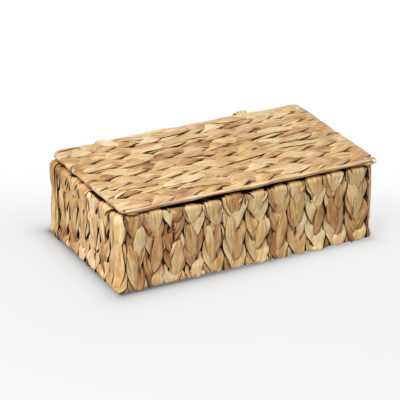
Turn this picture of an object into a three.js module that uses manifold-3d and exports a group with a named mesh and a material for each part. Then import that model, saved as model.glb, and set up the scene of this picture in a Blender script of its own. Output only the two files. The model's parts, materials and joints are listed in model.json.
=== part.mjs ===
// A lidded box made of flat three-strand fibre braids on two welded wire frames.
// Millimetres, +Z up. The origin is the middle of the underside, the front is -Y and the lid hinges at +Y.
// Every braid is folded round the frame's wires at both ends, and two cords lash the lid to the back rim.
import * as THREE from "three";
import { mergeVertices } from "three/addons/utils/BufferGeometryUtils.js";
import Module from "manifold-3d";

const wasm = await Module();
wasm.setup();

// Box body
const bodyLength = 350;
const bodyDepth = 205;
const bodyHeight = 102.6;
const bodyCornerRadius = 9;
const wallThickness = 6.4;
const foldThickness = 8;
const rimTail = 22;
const footTail = 14;
const rimUnevenness = 2.2;
const baseThickness = 7;
const braidWidth = 28;

// Lid, which reaches past the body by a little more at the front and the right
const lidThickness = 8.6;
const lidMiddleThickness = 7.4;
const lidTail = 24;
const lidCornerRadius = 10;
const lidReachFront = 2;
const lidReachBack = 0;
const lidReachLeft = 0.5;
const lidReachRight = 3;
const edgeStrandWidth = 8;
const edgeStrandRound = 3;

// Wire frames, hidden in the folds
const wireRadius = 1.6;
const wireInset = 4.4;
const rimWireDrop = 5.6;
const baseWireHeight = 3.4;
const wireSides = 6;
const wireCornerSteps = 3;
const baseWireShares = [-0.28, 0, 0.28];
const lidWireShares = [-0.17, 0.17];

// Clearances
const braidGap = 0.35;
const wireClearance = 0.3;
const seatGap = 0.3;
const cordClearance = 0.4;
const overrun = 5;

// Plaits: the length of one repeat, how far a strand runs from edge to middle, and how deep it is rounded.
// A wall strand comes down to the middle of its braid, and a lid strand runs to the right.
const wallPlait = { pitch: 29, run: 36, relief: 1.1, edgeFall: 0.9, point: -1 };
const lidPlait = { pitch: 35, run: 46, relief: 0.9, edgeFall: 0.8, point: 1 };
const crestInset = 0.2;
const plaitColumnShares = [-0.5, -0.41, 0, 0.41, 0.5];

// Front braids from left to right, chosen by eye: how wide each is, and how far its top lies below the highest
const frontWidthShares = [0.8, 0.93, 1.02, 0.97, 0.97, 1.12, 1.16, 0.98, 0.92, 0.95, 1.08, 1.1];
const frontDropShares = [0.1, 0.2, 0.4, 0.8, 0.9, 0.1, 0.7, 0.4, 0.8, 0.5, 0.1, 0];
const spreadShare = 0.618;

// Hinge lashings: a cord wound round the back rim and the lid's back edge, with the outer braids beyond it
const hingeOutset = 0.4;
const lashingRadius = 11;
const cordRadius = 1.6;
const cordPitch = 4;
const lashingTurns = 5;
const lashingTuckAngle = THREE.MathUtils.degToRad(20);
const outerBraids = 2;
const turnSteps = 24;
const cordSides = 6;
const cordEnd = 2 * cordRadius;
const slotSteps = 28;

// Curl of the front edge strand at the lid's right corner
const curlRadius = 2.4;
const curlCordRadius = 1.5;
const curlReach = 4.2;
const curlLead = 12;
const curlSteps = 14;

// Places worked out from the sizes
const lidUnderside = bodyHeight + seatGap;
const lidTop = lidUnderside + lidThickness;
const lidLength = bodyLength + lidReachLeft + lidReachRight;
const lidDepth = bodyDepth + lidReachFront + lidReachBack;
const lidCentre = new THREE.Vector2((lidReachRight - lidReachLeft) / 2, (lidReachBack - lidReachFront) / 2);
const hingeY = bodyDepth / 2 + hingeOutset;
const hingeZ = bodyHeight + seatGap / 2;
const innerLength = bodyLength - 2 * (foldThickness + braidGap);
const innerDepth = bodyDepth - 2 * (foldThickness + braidGap);
const lidBraidsDepth = lidDepth - 2 * edgeStrandWidth - braidGap;
const longWallBraids = Math.round(innerLength / braidWidth);
const shortWallBraids = Math.round(bodyDepth / braidWidth);
const baseBraids = Math.round(innerDepth / braidWidth);
const lidBraids = Math.round(lidBraidsDepth / braidWidth);
const lashingX = innerLength / 2 - (outerBraids + 1 / 2) * (innerLength / longWallBraids);

// A closed mesh as a solid: shared corners are merged, so only positions are kept.
function toSolid(geometry) {
  const bare = geometry.clone();
  bare.deleteAttribute("normal");
  bare.deleteAttribute("uv");
  const merged = mergeVertices(bare);
  const vertProperties = merged.attributes.position.array;
  const triVerts = new Uint32Array(merged.index.array);
  return new wasm.Manifold(new wasm.Mesh({ numProp: 3, vertProperties, triVerts }));
}

function toGeometry(solid) {
  const { vertProperties, triVerts } = solid.getMesh();
  const geometry = new THREE.BufferGeometry();
  geometry.setAttribute("position", new THREE.BufferAttribute(vertProperties, 3));
  geometry.setIndex(new THREE.BufferAttribute(triVerts, 1));
  geometry.computeVertexNormals();
  return geometry;
}

function joined(geometries) {
  const [first, ...others] = geometries.map(toSolid);
  return toGeometry(others.reduce((whole, piece) => whole.add(piece), first));
}

// Fibre in the straw colours of dried stems, a little different from one braid to the next.
function fibreMaterial(share) {
  const colour = new THREE.Color("#cfa978").lerp(new THREE.Color("#a9784f"), share);
  return new THREE.MeshStandardMaterial({ color: colour, roughness: 0.75, metalness: 0 });
}

function wireMaterial() {
  return new THREE.MeshStandardMaterial({ color: "#3a332c", roughness: 0.5, metalness: 0.8 });
}

// The fraction that a running count leaves, which scatters neighbours evenly between 0 and 1.
function scatterShare(index) {
  return (index * spreadShare) % 1;
}

// Side view of a braid folded back on itself at both ends: x is the depth from its face, y runs along it.
function foldedProfile(length, thickness, middleThickness, firstTail, lastTail) {
  const round = thickness / 2;
  const step = thickness - middleThickness;
  const shape = new THREE.Shape();
  shape.absarc(round, round, round, Math.PI, 2 * Math.PI, false);
  if (step > 0) {
    shape.lineTo(thickness, firstTail);
    shape.lineTo(middleThickness, firstTail + step);
    shape.lineTo(middleThickness, length - lastTail - step);
    shape.lineTo(thickness, length - lastTail);
  }
  shape.absarc(round, length - round, round, 0, Math.PI, false);
  return shape;
}

// The profile carried across the braid's width: x is across, y is the depth from its face, z runs along it.
function foldedStrip(width, profile) {
  const strip = new THREE.ExtrudeGeometry(profile, { depth: width, bevelEnabled: false, curveSegments: 2 });
  const across = new THREE.Vector3(1, 0, 0);
  const deep = new THREE.Vector3(0, 1, 0);
  const along = new THREE.Vector3(0, 0, 1);
  strip.translate(0, 0, -width / 2);
  return strip.applyMatrix4(new THREE.Matrix4().makeBasis(deep, along, across));
}

// A block whose face is ridged by slanting strands that meet in a V along the middle. Each row of the grid
// is half a repeat on from the last, and the left and right strands take turns, one up while the other is down.
function ridgedBlock(width, length, thickness, plait, phaseShare) {
  const half = plait.pitch / 2;
  const shear = -plait.point * plait.run;
  const start = phaseShare * plait.pitch;
  const firstRow = Math.floor((-overrun - Math.max(shear, 0) - start) / half);
  const lastRow = Math.ceil((length + overrun - Math.min(shear, 0) - start) / half);
  const middle = (plaitColumnShares.length - 1) / 2;
  const columns = plaitColumnShares.length;
  const rows = lastRow - firstRow + 1;
  const face = [];
  const back = [];
  for (let row = firstRow; row <= lastRow; row++) {
    plaitColumnShares.forEach((share, column) => {
      const side = Math.sign(column - middle);
      const low = (row + (side > 0 ? 1 : 0)) % 2 !== 0;
      const fall = side === 0 ? plait.relief / 2 : low ? plait.relief : 0;
      const edge = column === 0 || column === columns - 1 ? plait.edgeFall : 0;
      const z = start + row * half + shear * 2 * Math.abs(share);
      face.push(share * width, crestInset + fall + edge, z);
      back.push(share * width, thickness + overrun, z);
    });
  }
  const index = [];
  const count = rows * columns;
  const quad = (a, b, c, d) => index.push(a, b, d, b, c, d);
  for (let row = 0; row < rows - 1; row++) {
    for (let column = 0; column < columns - 1; column++) {
      const a = row * columns + column;
      quad(a, a + 1, a + 1 + columns, a + columns);
      quad(count + a, count + a + columns, count + a + 1 + columns, count + a + 1);
    }
    const left = row * columns;
    const right = left + columns - 1;
    quad(left, left + columns, count + left + columns, count + left);
    quad(right, count + right, count + right + columns, right + columns);
  }
  for (let column = 0; column < columns - 1; column++) {
    const top = (rows - 1) * columns + column;
    quad(column, count + column, count + column + 1, column + 1);
    quad(top, top + 1, count + top + 1, count + top);
  }
  const geometry = new THREE.BufferGeometry();
  geometry.setAttribute("position", new THREE.Float32BufferAttribute([...face, ...back], 3));
  geometry.setIndex(index);
  return geometry;
}

// One braid before the wires are let in: its folded strip, with the plait on its face.
function braid(width, length, thickness, profile, plait, phaseShare) {
  const strip = toSolid(foldedStrip(width, profile));
  const block = toSolid(ridgedBlock(width, length, thickness, plait, phaseShare));
  return toGeometry(strip.intersect(block));
}

function wallBraid(width, height, corner, phaseShare) {
  const middleThickness = corner ? foldThickness : wallThickness;
  const profile = foldedProfile(height, foldThickness, middleThickness, footTail, rimTail);
  return braid(width, height, foldThickness, profile, wallPlait, phaseShare);
}

function lidBraid(width, phaseShare) {
  const profile = foldedProfile(lidLength, lidThickness, lidMiddleThickness, lidTail, lidTail);
  return braid(width, lidLength, lidThickness, profile, lidPlait, phaseShare);
}

// A base braid lies out of sight under what the box holds, so it stays smooth.
function baseBraid(width) {
  return foldedStrip(width, foldedProfile(innerLength, baseThickness, baseThickness, 0, 0));
}

// A ring of wire along a rectangle with round corners. Each ring point is turned by the corner's own angle.
function wireLoop(length, depth, cornerRadius, radius) {
  const positions = [];
  const index = [];
  const rings = 4 * (wireCornerSteps + 1);
  for (let corner = 0; corner < 4; corner++) {
    const x = (corner === 0 || corner === 3 ? 1 : -1) * (length / 2 - cornerRadius);
    const y = (corner < 2 ? 1 : -1) * (depth / 2 - cornerRadius);
    for (let step = 0; step <= wireCornerSteps; step++) {
      const angle = (corner + step / wireCornerSteps) * (Math.PI / 2);
      for (let side = 0; side < wireSides; side++) {
        const turn = ((side + 1 / 2) / wireSides) * 2 * Math.PI;
        const reach = cornerRadius + radius * Math.cos(turn);
        positions.push(x + reach * Math.cos(angle), y + reach * Math.sin(angle), radius * Math.sin(turn));
      }
    }
  }
  for (let ring = 0; ring < rings; ring++) {
    for (let side = 0; side < wireSides; side++) {
      const a = ring * wireSides + side;
      const b = ((ring + 1) % rings) * wireSides + side;
      const c = ((ring + 1) % rings) * wireSides + ((side + 1) % wireSides);
      const d = ring * wireSides + ((side + 1) % wireSides);
      index.push(a, b, d, b, c, d);
    }
  }
  const geometry = new THREE.BufferGeometry();
  geometry.setAttribute("position", new THREE.Float32BufferAttribute(positions, 3));
  geometry.setIndex(index);
  return geometry;
}

function crossWire(length, radius) {
  return new THREE.CylinderGeometry(radius, radius, length, wireSides);
}

// Rim and base loops of the body, a post in each corner and the wires that carry the base. With a clearance
// added to the wire's radius the same shape is the room that the braids leave for it.
function bodyWires(clearance) {
  const radius = wireRadius + clearance;
  const length = bodyLength - 2 * wireInset;
  const depth = bodyDepth - 2 * wireInset;
  const corner = bodyCornerRadius - wireInset;
  const rimHeight = bodyHeight - rimWireDrop;
  const loop = () => wireLoop(length, depth, corner, radius);
  const wires = [loop().translate(0, 0, rimHeight), loop().translate(0, 0, baseWireHeight)];
  for (const x of [-length / 2, length / 2]) {
    for (const y of [corner - depth / 2, depth / 2 - corner]) {
      const post = crossWire(rimHeight - baseWireHeight, radius).rotateX(Math.PI / 2);
      wires.push(post.translate(x, y, (rimHeight + baseWireHeight) / 2));
    }
  }
  for (const share of baseWireShares) {
    wires.push(crossWire(depth, radius).translate(share * bodyLength, 0, baseWireHeight));
  }
  return joined(wires);
}

function lidWires(clearance) {
  const radius = wireRadius + clearance;
  const length = lidLength - 2 * wireInset;
  const depth = lidDepth - 2 * wireInset;
  const wires = [wireLoop(length, depth, lidCornerRadius - wireInset, radius)];
  for (const share of lidWireShares) {
    wires.push(crossWire(depth, radius).translate(share * lidLength, 0, 0));
  }
  return joined(wires).translate(lidCentre.x, lidCentre.y, lidUnderside + lidThickness / 2);
}

// Plan of the body or the lid, carried up through its height and past it.
function roundedPlan(length, depth, cornerRadius, low, high) {
  const x = length / 2 - cornerRadius;
  const y = depth / 2 - cornerRadius;
  const shape = new THREE.Shape();
  shape.absarc(x, y, cornerRadius, 0, Math.PI / 2, false);
  shape.absarc(-x, y, cornerRadius, Math.PI / 2, Math.PI, false);
  shape.absarc(-x, -y, cornerRadius, Math.PI, 1.5 * Math.PI, false);
  shape.absarc(x, -y, cornerRadius, 1.5 * Math.PI, 2 * Math.PI, false);
  const height = high - low + 2 * overrun;
  const plan = new THREE.ExtrudeGeometry(shape, { depth: height, bevelEnabled: false, curveSegments: 3 });
  return plan.translate(0, 0, low - overrun);
}

// Cord of one hinge lashing: straight end, winding, straight end. Both ends hang inside the rim.
class LashingCurve extends THREE.Curve {
  constructor() {
    super();
    this.startAngle = Math.PI + lashingTuckAngle;
    this.endAngle = Math.PI + 2 * Math.PI * lashingTurns;
    this.rise = cordPitch / (2 * Math.PI);
    this.windLength = (this.endAngle - this.startAngle) * Math.hypot(lashingRadius, this.rise);
    this.wholeLength = this.windLength + 2 * cordEnd;
  }

  onWinding(angle) {
    const along = (angle - (this.startAngle + this.endAngle) / 2) * this.rise;
    return new THREE.Vector3(along, lashingRadius * Math.cos(angle), lashingRadius * Math.sin(angle));
  }

  heading(angle) {
    const heading = new THREE.Vector3(
      this.rise,
      -lashingRadius * Math.sin(angle),
      lashingRadius * Math.cos(angle),
    );
    return heading.normalize();
  }

  getPoint(t) {
    const travelled = t * this.wholeLength - cordEnd;
    if (travelled < 0) {
      const start = this.onWinding(this.startAngle);
      return start.addScaledVector(this.heading(this.startAngle), travelled);
    }
    if (travelled > this.windLength) {
      const end = this.onWinding(this.endAngle);
      return end.addScaledVector(this.heading(this.endAngle), travelled - this.windLength);
    }
    const done = travelled / this.windLength;
    return this.onWinding(this.startAngle + done * (this.endAngle - this.startAngle));
  }
}

function cordSection(radius) {
  const corners = [];
  for (let side = 0; side < cordSides; side++) {
    const turn = (side / cordSides) * 2 * Math.PI;
    corners.push(new THREE.Vector2(radius * Math.cos(turn), radius * Math.sin(turn)));
  }
  return new THREE.Shape(corners);
}

function lashingCord(curve) {
  const steps = Math.round((curve.wholeLength / (2 * Math.PI * lashingRadius)) * turnSteps);
  const settings = { steps, extrudePath: curve, bevelEnabled: false };
  return new THREE.ExtrudeGeometry(cordSection(cordRadius), settings);
}

// Least free space between the turns of a winding, measured between points along its cord.
function leastGap(curve) {
  const stepsInAll = turnSteps * lashingTurns * 4;
  const apart = turnSteps * 2;
  const points = curve.getPoints(stepsInAll);
  let least = Infinity;
  for (let i = 0; i < points.length; i++) {
    for (let j = i + apart; j < points.length; j++) {
      least = Math.min(least, points[i].distanceTo(points[j]));
    }
  }
  return least - 2 * cordRadius;
}

// Ring-shaped room round the hinge axis that lets the lid turn while the winding stays still.
function lashingSlot(width) {
  const inner = lashingRadius - cordRadius - cordClearance;
  const outer = lashingRadius + cordRadius + cordClearance;
  const half = width / 2 + cordClearance;
  const corners = [
    new THREE.Vector2(inner, -half),
    new THREE.Vector2(outer, -half),
    new THREE.Vector2(outer, half),
    new THREE.Vector2(inner, half),
    new THREE.Vector2(inner, -half),
  ];
  return new THREE.LatheGeometry(corners, slotSteps).rotateZ(Math.PI / 2);
}

// Straight strand along a lid edge, round on its outer side, which faces -Y before it is turned.
function edgeStrand() {
  const shape = new THREE.Shape();
  shape.absarc(edgeStrandRound, edgeStrandRound, edgeStrandRound, Math.PI, 1.5 * Math.PI, false);
  shape.lineTo(edgeStrandWidth, 0);
  shape.lineTo(edgeStrandWidth, lidThickness);
  const upper = lidThickness - edgeStrandRound;
  shape.absarc(edgeStrandRound, upper, edgeStrandRound, Math.PI / 2, Math.PI, false);
  const settings = { depth: lidLength, bevelEnabled: false, curveSegments: 2 };
  const strand = new THREE.ExtrudeGeometry(shape, settings);
  const along = new THREE.Vector3(1, 0, 0);
  const inward = new THREE.Vector3(0, 1, 0);
  const up = new THREE.Vector3(0, 0, 1);
  strand.translate(0, 0, -lidLength / 2);
  return strand.applyMatrix4(new THREE.Matrix4().makeBasis(inward, up, along));
}

// Hairpin of cord that sticks out of the front edge strand's right end.
function cornerCurl() {
  const tip = lidLength / 2 + curlReach - curlRadius - curlCordRadius;
  const y = edgeStrandWidth / 2;
  const z = lidThickness / 2;
  const bulge = (4 / 3) * curlRadius;
  const point = (x, side) => new THREE.Vector3(x, y + side * curlRadius, z);
  const path = new THREE.CurvePath();
  path.add(new THREE.LineCurve3(point(tip - curlLead, -1), point(tip, -1)));
  const bend = [point(tip, -1), point(tip + bulge, -1), point(tip + bulge, 1), point(tip, 1)];
  path.add(new THREE.CubicBezierCurve3(...bend));
  path.add(new THREE.LineCurve3(point(tip, 1), point(tip - curlLead, 1)));
  const settings = { steps: curlSteps, extrudePath: path, bevelEnabled: false };
  return new THREE.ExtrudeGeometry(cordSection(curlCordRadius), settings);
}

// Puts a named piece in its group, kept within a plan if there is one, with its neighbours' room cut out.
function addPiece(group, name, place, shape, material, within, cuts) {
  const mesh = new THREE.Mesh(shape, material);
  mesh.name = name;
  mesh.position.copy(place);
  group.add(mesh);
  mesh.updateWorldMatrix(true, false);
  const toPiece = mesh.matrixWorld.clone().invert();
  const local = (tool) => toSolid(tool.clone().applyMatrix4(toPiece));
  let solid = toSolid(shape);
  if (within) {
    solid = solid.intersect(local(within));
  }
  for (const cut of cuts) {
    solid = solid.subtract(local(cut));
  }
  mesh.geometry = toGeometry(solid);
}

// Middles and widths of braids laid side by side, from their relative widths.
function sideBySide(total, widthShares) {
  const sum = widthShares.reduce((a, b) => a + b);
  let edge = -total / 2;
  return widthShares.map((share) => {
    const room = (share / sum) * total;
    const middle = edge + room / 2;
    edge += room;
    return { middle, width: room - braidGap };
  });
}

// One wall of upright braids. It is made facing -Y and turned to its side of the box.
function addWall(box, side, turn, reach, total, widthShares, dropShares, corners, plan, cuts) {
  const turned = new THREE.Group();
  turned.rotation.z = turn;
  box.add(turned);
  const wall = new THREE.Group();
  wall.position.y = -reach;
  turned.add(wall);
  const places = sideBySide(total, widthShares);
  places.forEach(({ middle, width }, i) => {
    const last = i === places.length - 1;
    const corner = corners && (i === 0 || last);
    const height = bodyHeight - rimUnevenness * dropShares[i];
    const digits = String(places.length).length;
    const name = `${side}_wall_braid_${String(i + 1).padStart(digits, "0")}`;
    const endGap = corner ? ((last ? 1 : -1) * braidGap) / 2 : 0;
    const shape = wallBraid(width + Math.abs(endGap), height, corner, scatterShare(i + 1));
    const place = new THREE.Vector3(middle + endGap / 2, 0, 0);
    addPiece(wall, name, place, shape, fibreMaterial(scatterShare(i)), corner ? plan : null, cuts);
  });
}

function addWalls(box, cuts, slots) {
  const plan = roundedPlan(bodyLength, bodyDepth, bodyCornerRadius, 0, bodyHeight);
  const even = (count) => Array(count).fill(1);
  const scattered = (count) => even(count).map((_, i) => scatterShare(i + 2));
  const chosen = (shares) => even(longWallBraids).map((_, i) => shares[i % shares.length]);
  const long = [bodyDepth / 2, innerLength];
  const short = [bodyLength / 2, bodyDepth, even(shortWallBraids), scattered(shortWallBraids)];
  const alike = [even(longWallBraids), scattered(longWallBraids)];
  addWall(box, "front", 0, ...long, chosen(frontWidthShares), chosen(frontDropShares), false, plan, cuts);
  addWall(box, "back", Math.PI, ...long, ...alike, false, plan, [...cuts, ...slots]);
  addWall(box, "left", -Math.PI / 2, ...short, true, plan, cuts);
  addWall(box, "right", Math.PI / 2, ...short, true, plan, cuts);
}

// A group whose pieces lie flat with their faces up: their length runs along +X and their depth along -Z.
function flatGroup(parent, x, y, top) {
  const group = new THREE.Group();
  const toFront = new THREE.Vector3(0, -1, 0);
  const down = new THREE.Vector3(0, 0, -1);
  const right = new THREE.Vector3(1, 0, 0);
  group.quaternion.setFromRotationMatrix(new THREE.Matrix4().makeBasis(toFront, down, right));
  group.position.set(x, y, top);
  parent.add(group);
  return group;
}

function addBase(box, cuts) {
  const floor = flatGroup(box, -innerLength / 2, 0, baseThickness);
  sideBySide(innerDepth, Array(baseBraids).fill(1)).forEach(({ middle, width }, i) => {
    const place = new THREE.Vector3(-middle, 0, 0);
    const material = fibreMaterial(scatterShare(i + 3));
    addPiece(floor, `base_braid_${i + 1}`, place, baseBraid(width), material, null, cuts);
  });
}

function addLid(box, cuts, slots) {
  const lid = new THREE.Group();
  box.add(lid);
  const plan = roundedPlan(lidLength, lidDepth, lidCornerRadius, lidUnderside, lidTop);
  plan.translate(lidCentre.x, lidCentre.y, 0);
  const top = flatGroup(lid, lidCentre.x - lidLength / 2, lidCentre.y, lidTop);
  sideBySide(lidBraidsDepth, Array(lidBraids).fill(1)).forEach(({ middle, width }, i) => {
    const shape = lidBraid(width, scatterShare(i + 2));
    const place = new THREE.Vector3(-middle, 0, 0);
    const material = fibreMaterial(scatterShare(i + 1));
    addPiece(top, `lid_braid_${i + 1}`, place, shape, material, plan, [...cuts, ...slots]);
  });
  addEdgeStrands(lid, plan, cuts, slots);
}

function addEdgeStrands(lid, plan, cuts, slots) {
  const front = new THREE.Group();
  front.position.set(lidCentre.x, lidCentre.y - lidDepth / 2, lidUnderside);
  lid.add(front);
  const none = new THREE.Vector3();
  const frontMaterial = fibreMaterial(0);
  addPiece(front, "lid_front_edge_strand", none, edgeStrand(), frontMaterial, plan, []);
  const strand = front.children[0];
  strand.geometry = joined([strand.geometry, cornerCurl()]);
  const toStrand = strand.matrixWorld.clone().invert();
  for (const cut of cuts) {
    const room = toSolid(cut.clone().applyMatrix4(toStrand));
    strand.geometry = toGeometry(toSolid(strand.geometry).subtract(room));
  }
  const back = new THREE.Group();
  back.position.set(lidCentre.x, lidCentre.y + lidDepth / 2, lidUnderside);
  back.rotation.z = Math.PI;
  lid.add(back);
  const backCuts = [...cuts, ...slots];
  addPiece(back, "lid_back_edge_strand", none, edgeStrand(), fibreMaterial(1 / 2), plan, backCuts);
}

function addFrame(box, name, shape) {
  const mesh = new THREE.Mesh(shape, wireMaterial());
  mesh.name = name;
  box.add(mesh);
}

function addLashings(box) {
  const curve = new LashingCurve();
  for (const [side, x] of [["left", -lashingX], ["right", lashingX]]) {
    const mesh = new THREE.Mesh(lashingCord(curve), fibreMaterial(1 / 4));
    mesh.name = `hinge_lashing_${side}`;
    mesh.position.set(x, hingeY, hingeZ);
    box.add(mesh);
  }
  console.log(`least gap between the turns of a lashing: ${leastGap(curve).toFixed(2)} mm`);
}

function buildBox() {
  const box = new THREE.Group();
  const windingWidth = (lashingTurns - lashingTuckAngle / (2 * Math.PI)) * cordPitch + 2 * cordRadius;
  const slots = [-lashingX, lashingX].map((x) => lashingSlot(windingWidth).translate(x, hingeY, hingeZ));
  const bodyRoom = bodyWires(wireClearance);
  const lidRoom = lidWires(wireClearance);
  addWalls(box, [bodyRoom], slots);
  addBase(box, [bodyRoom]);
  addLid(box, [lidRoom], slots);
  addFrame(box, "body_wire_frame", bodyWires(0));
  addFrame(box, "lid_wire_frame", lidWires(0));
  addLashings(box);
  return box;
}

export default buildBox();
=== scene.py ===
# Looks of a lidded box of flat three-strand fibre braids. Metres, +Z up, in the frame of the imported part:
# the front is -Y, the lid hinges at +Y. Every strand of every braid is a swept band of its own.
import json
import math
from typing import NamedTuple

import bpy
import numpy as np
from bpy.props import FloatProperty, FloatVectorProperty, IntProperty, PointerProperty, StringProperty
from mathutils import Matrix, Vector


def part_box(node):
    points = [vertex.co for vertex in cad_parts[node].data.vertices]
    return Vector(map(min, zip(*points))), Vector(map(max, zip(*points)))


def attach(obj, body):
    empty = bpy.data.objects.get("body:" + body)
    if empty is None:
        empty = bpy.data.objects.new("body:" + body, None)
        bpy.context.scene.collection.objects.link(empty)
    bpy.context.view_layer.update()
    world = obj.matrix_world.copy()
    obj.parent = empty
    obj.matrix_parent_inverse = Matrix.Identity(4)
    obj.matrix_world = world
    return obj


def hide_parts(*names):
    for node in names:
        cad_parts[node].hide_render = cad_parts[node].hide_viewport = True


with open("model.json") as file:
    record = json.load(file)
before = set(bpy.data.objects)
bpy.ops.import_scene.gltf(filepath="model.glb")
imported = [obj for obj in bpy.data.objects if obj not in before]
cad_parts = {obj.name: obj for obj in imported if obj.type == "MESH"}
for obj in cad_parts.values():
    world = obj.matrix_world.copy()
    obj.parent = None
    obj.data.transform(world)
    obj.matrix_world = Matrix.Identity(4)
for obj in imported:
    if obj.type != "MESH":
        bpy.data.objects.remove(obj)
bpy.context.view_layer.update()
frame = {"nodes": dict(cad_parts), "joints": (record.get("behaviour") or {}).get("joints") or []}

bl_info = {
    "name": "Woven Lidded Box",
    "version": (1, 0, 0),
    "blender": (4, 5, 0),
    "location": "3D View > Sidebar > Woven Box",
    "description": "Plaits the walls, base and lid of a woven box, its edge strands, lashings and loose ends",
    "category": "Add Mesh",
}

BODY = "box_body"
LID = "lid"
WALL_TURNS = {"front": 0.0, "back": math.pi, "left": -math.pi / 2, "right": math.pi / 2}
STRANDS = 3
MM = 0.001

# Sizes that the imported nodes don't tell
CORNER_RADIUS = 9 * MM
WALL_FOLD = 8 * MM
RIM_TAIL = 22 * MM
FOOT_TAIL = 14 * MM
LID_TAIL = 24 * MM
LASHING_RADII = (7.2 * MM, 9.4 * MM)
LASHING_TURNS = 5
LASHING_PITCHES = (2.1 * MM, 3.3 * MM)
LASHING_SHIFTS = (-6.5 * MM, 0.5 * MM)
LASHING_TUCK = math.radians(20)
LID_UNDERSIDE = 102.9 * MM
RIM_GAPS = {"front": 2.3 * MM, "left": 2.2 * MM, "right": 0.9 * MM, "back": 0.9 * MM}
FRONT_RIM_DROPS = [mm * MM for mm in (0.4, -0.2, 0.2, 1.9, 2.1, 0.8, 1.9, 1.6, 0.3, -0.3, 0.0, 0.0)]
RIM_DROP_SHARE = 0.85
RIM_SAG_SHARE = 0.35
RIM_BAND = 20 * MM
FOOT_BAND = 22 * MM
FOOT_LIFT = 1.1 * MM
FOOT_RISE = 2.4 * MM
FOOT_BULGES = (2.4 * MM, 4.8 * MM)
LID_LIP = 5.5 * MM
LID_BEVEL = 3.6 * MM
LID_BEVEL_RUN = 17 * MM
LID_UNDERCUT = 3.5 * MM
LID_CUT_RUN = 20 * MM
LID_DRAW_RUN = 45 * MM
LID_CORNERS = {(-1, -1): 8 * MM, (1, -1): 4 * MM, (1, 1): 7 * MM, (-1, 1): 17 * MM}
EDGE_HALF_WIDTH = 2.8 * MM
EDGE_HALF_HEIGHTS = (2.1 * MM, 3.0 * MM)
EDGE_MIDDLES = (4.3 * MM, 5.2 * MM)
EDGE_STARTS = (7 * MM, 5 * MM)
EDGE_TUCK = 3.2 * MM
EDGE_TUCK_RUN = 16 * MM

# Leaves over the round corners, by wall and side of it: place across from where the corner begins,
# half width, first and last place as shares of the face's height, and how far over the skin
CORNER_LEAVES = {
    ("left", 1): (
        (-11 * MM, 5 * MM, 0.0, 0.6, 0.5 * MM),
        (-2.5 * MM, 6.4 * MM, 0.0, 0.78, 0.9 * MM),
        (-12 * MM, 5.5 * MM, 0.5, 1.28, 0.6 * MM),
        (-5 * MM, 5 * MM, 0.6, 1.26, 0.6 * MM),
        (0.5 * MM, 6.5 * MM, 0.66, 1.22, 2.3 * MM),
    ),
    ("left", -1): (
        (-7.5 * MM, 9 * MM, 0.6, 1.16, 2.8 * MM),
        (-14 * MM, 6 * MM, 0.3, 1.12, 1.2 * MM),
        (-3 * MM, 7 * MM, 0.0, 0.6, 0.5 * MM),
        (-13 * MM, 6 * MM, 0.0, 0.5, 0.8 * MM),
    ),
    ("right", -1): ((3 * MM, 4.6 * MM, 0.2, 1.2, 0.5 * MM), (-4 * MM, 5 * MM, 0.0, 0.6, 0.4 * MM)),
    ("right", 1): ((1 * MM, 5.4 * MM, 0.0, 0.7, 0.4 * MM), (3 * MM, 5 * MM, 0.4, 1.2, 0.4 * MM)),
}

# Curl at the lid's front right corner, the wrap round the body's corners, and the walls' tint, a painted warm
# shade
CURL_RADIUS = 2.4 * MM
CURL_CORD = 1.15 * MM
CURL_LEAD = 12 * MM
CURL_INSET = 1.5 * MM
CURL_CLEARANCE = 0.6 * MM
CORNER_REACH = 6.5 * MM
CORNER_SQUEEZE_SHARE = 0.2
CORNER_SAG = 2.4 * MM
CORNER_BAND = 16 * MM
CORNER_LEAST_RADIUS = 1.2 * MM
CORNER_SEAM = 0.13 * MM
FLOOR_CLEARANCE = 0.15 * MM
WALL_SHADE_TINT = (1.0, 0.945, 0.86)

# How the braids are made: the room between neighbours, half thicknesses of the face, the folds and the
# tails, where the painted shade at the strands' edges begins, painted shades, spreads of tone, loose leaves,
# inner bands painted dark as the shade between the strands, and gaps, whose slits are painted dark as shade
BRAID_GAP = 0.35 * MM
WALL_HALVES = (3.8 * MM, 2.1 * MM, 1.25 * MM)
LID_HALVES = (3.6 * MM, 2.1 * MM, 1.4 * MM)
WALL_EDGE_SHADE_FROM = 0.85
LID_EDGE_SHADE_FROM = 0.86
WALL_SLITS = 5
LID_LEAST_SHADE = 0.2
LID_INNER_SHADE = 0.64
FOLD_RAMP = 16 * MM
COVER_MARGIN = 1.5 * MM
LEAF_DIP = 2.6 * MM
LEAF_THICKNESS = 0.9 * MM
WALL_TONE_SPREAD = 0.15
LID_TONE_SPREAD = 0.11
INNER_MARGIN = 0.6 * MM
WALL_INNER_MARGIN = 1.8 * MM
LEAF_LIFT = 0.6 * MM
LEAF_STRAY = 0.6 * MM
RIM_LEAF_LIFT = 0.5 * MM
CORNER_LEAF_LEAD = 8 * MM
INNER_END = 3 * MM
INNER_CROWN = 0.4 * MM
LIP_INSET = 4 * MM
SLIT_DEPTH = 1.4 * MM
SLIT_ENDS = (12 * MM, 6 * MM)
BASE_INSET = 0.2 * MM
BASE_DROP = 0.1 * MM

# How far along a stem each kind of unevenness keeps its way, and how far a strand strays and tapers
DRIFT_RUN = 50 * MM
SWAY_RUN = 35 * MM
STRAY_RUN = 30 * MM
WIDTH_RUN = 24 * MM
SHADE_RUN = 22 * MM
RISE_RUN = 20 * MM
HEIGHT_RUN = 16 * MM
GROOVE_RUN = 30 * MM
TONE_RUN = 30 * MM
FINE_TONE_RUN = 12 * MM
RED_RUN = 40 * MM
STRAND_STRAY = 0.7 * MM
STRAND_TAPER = 6 * MM

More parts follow.
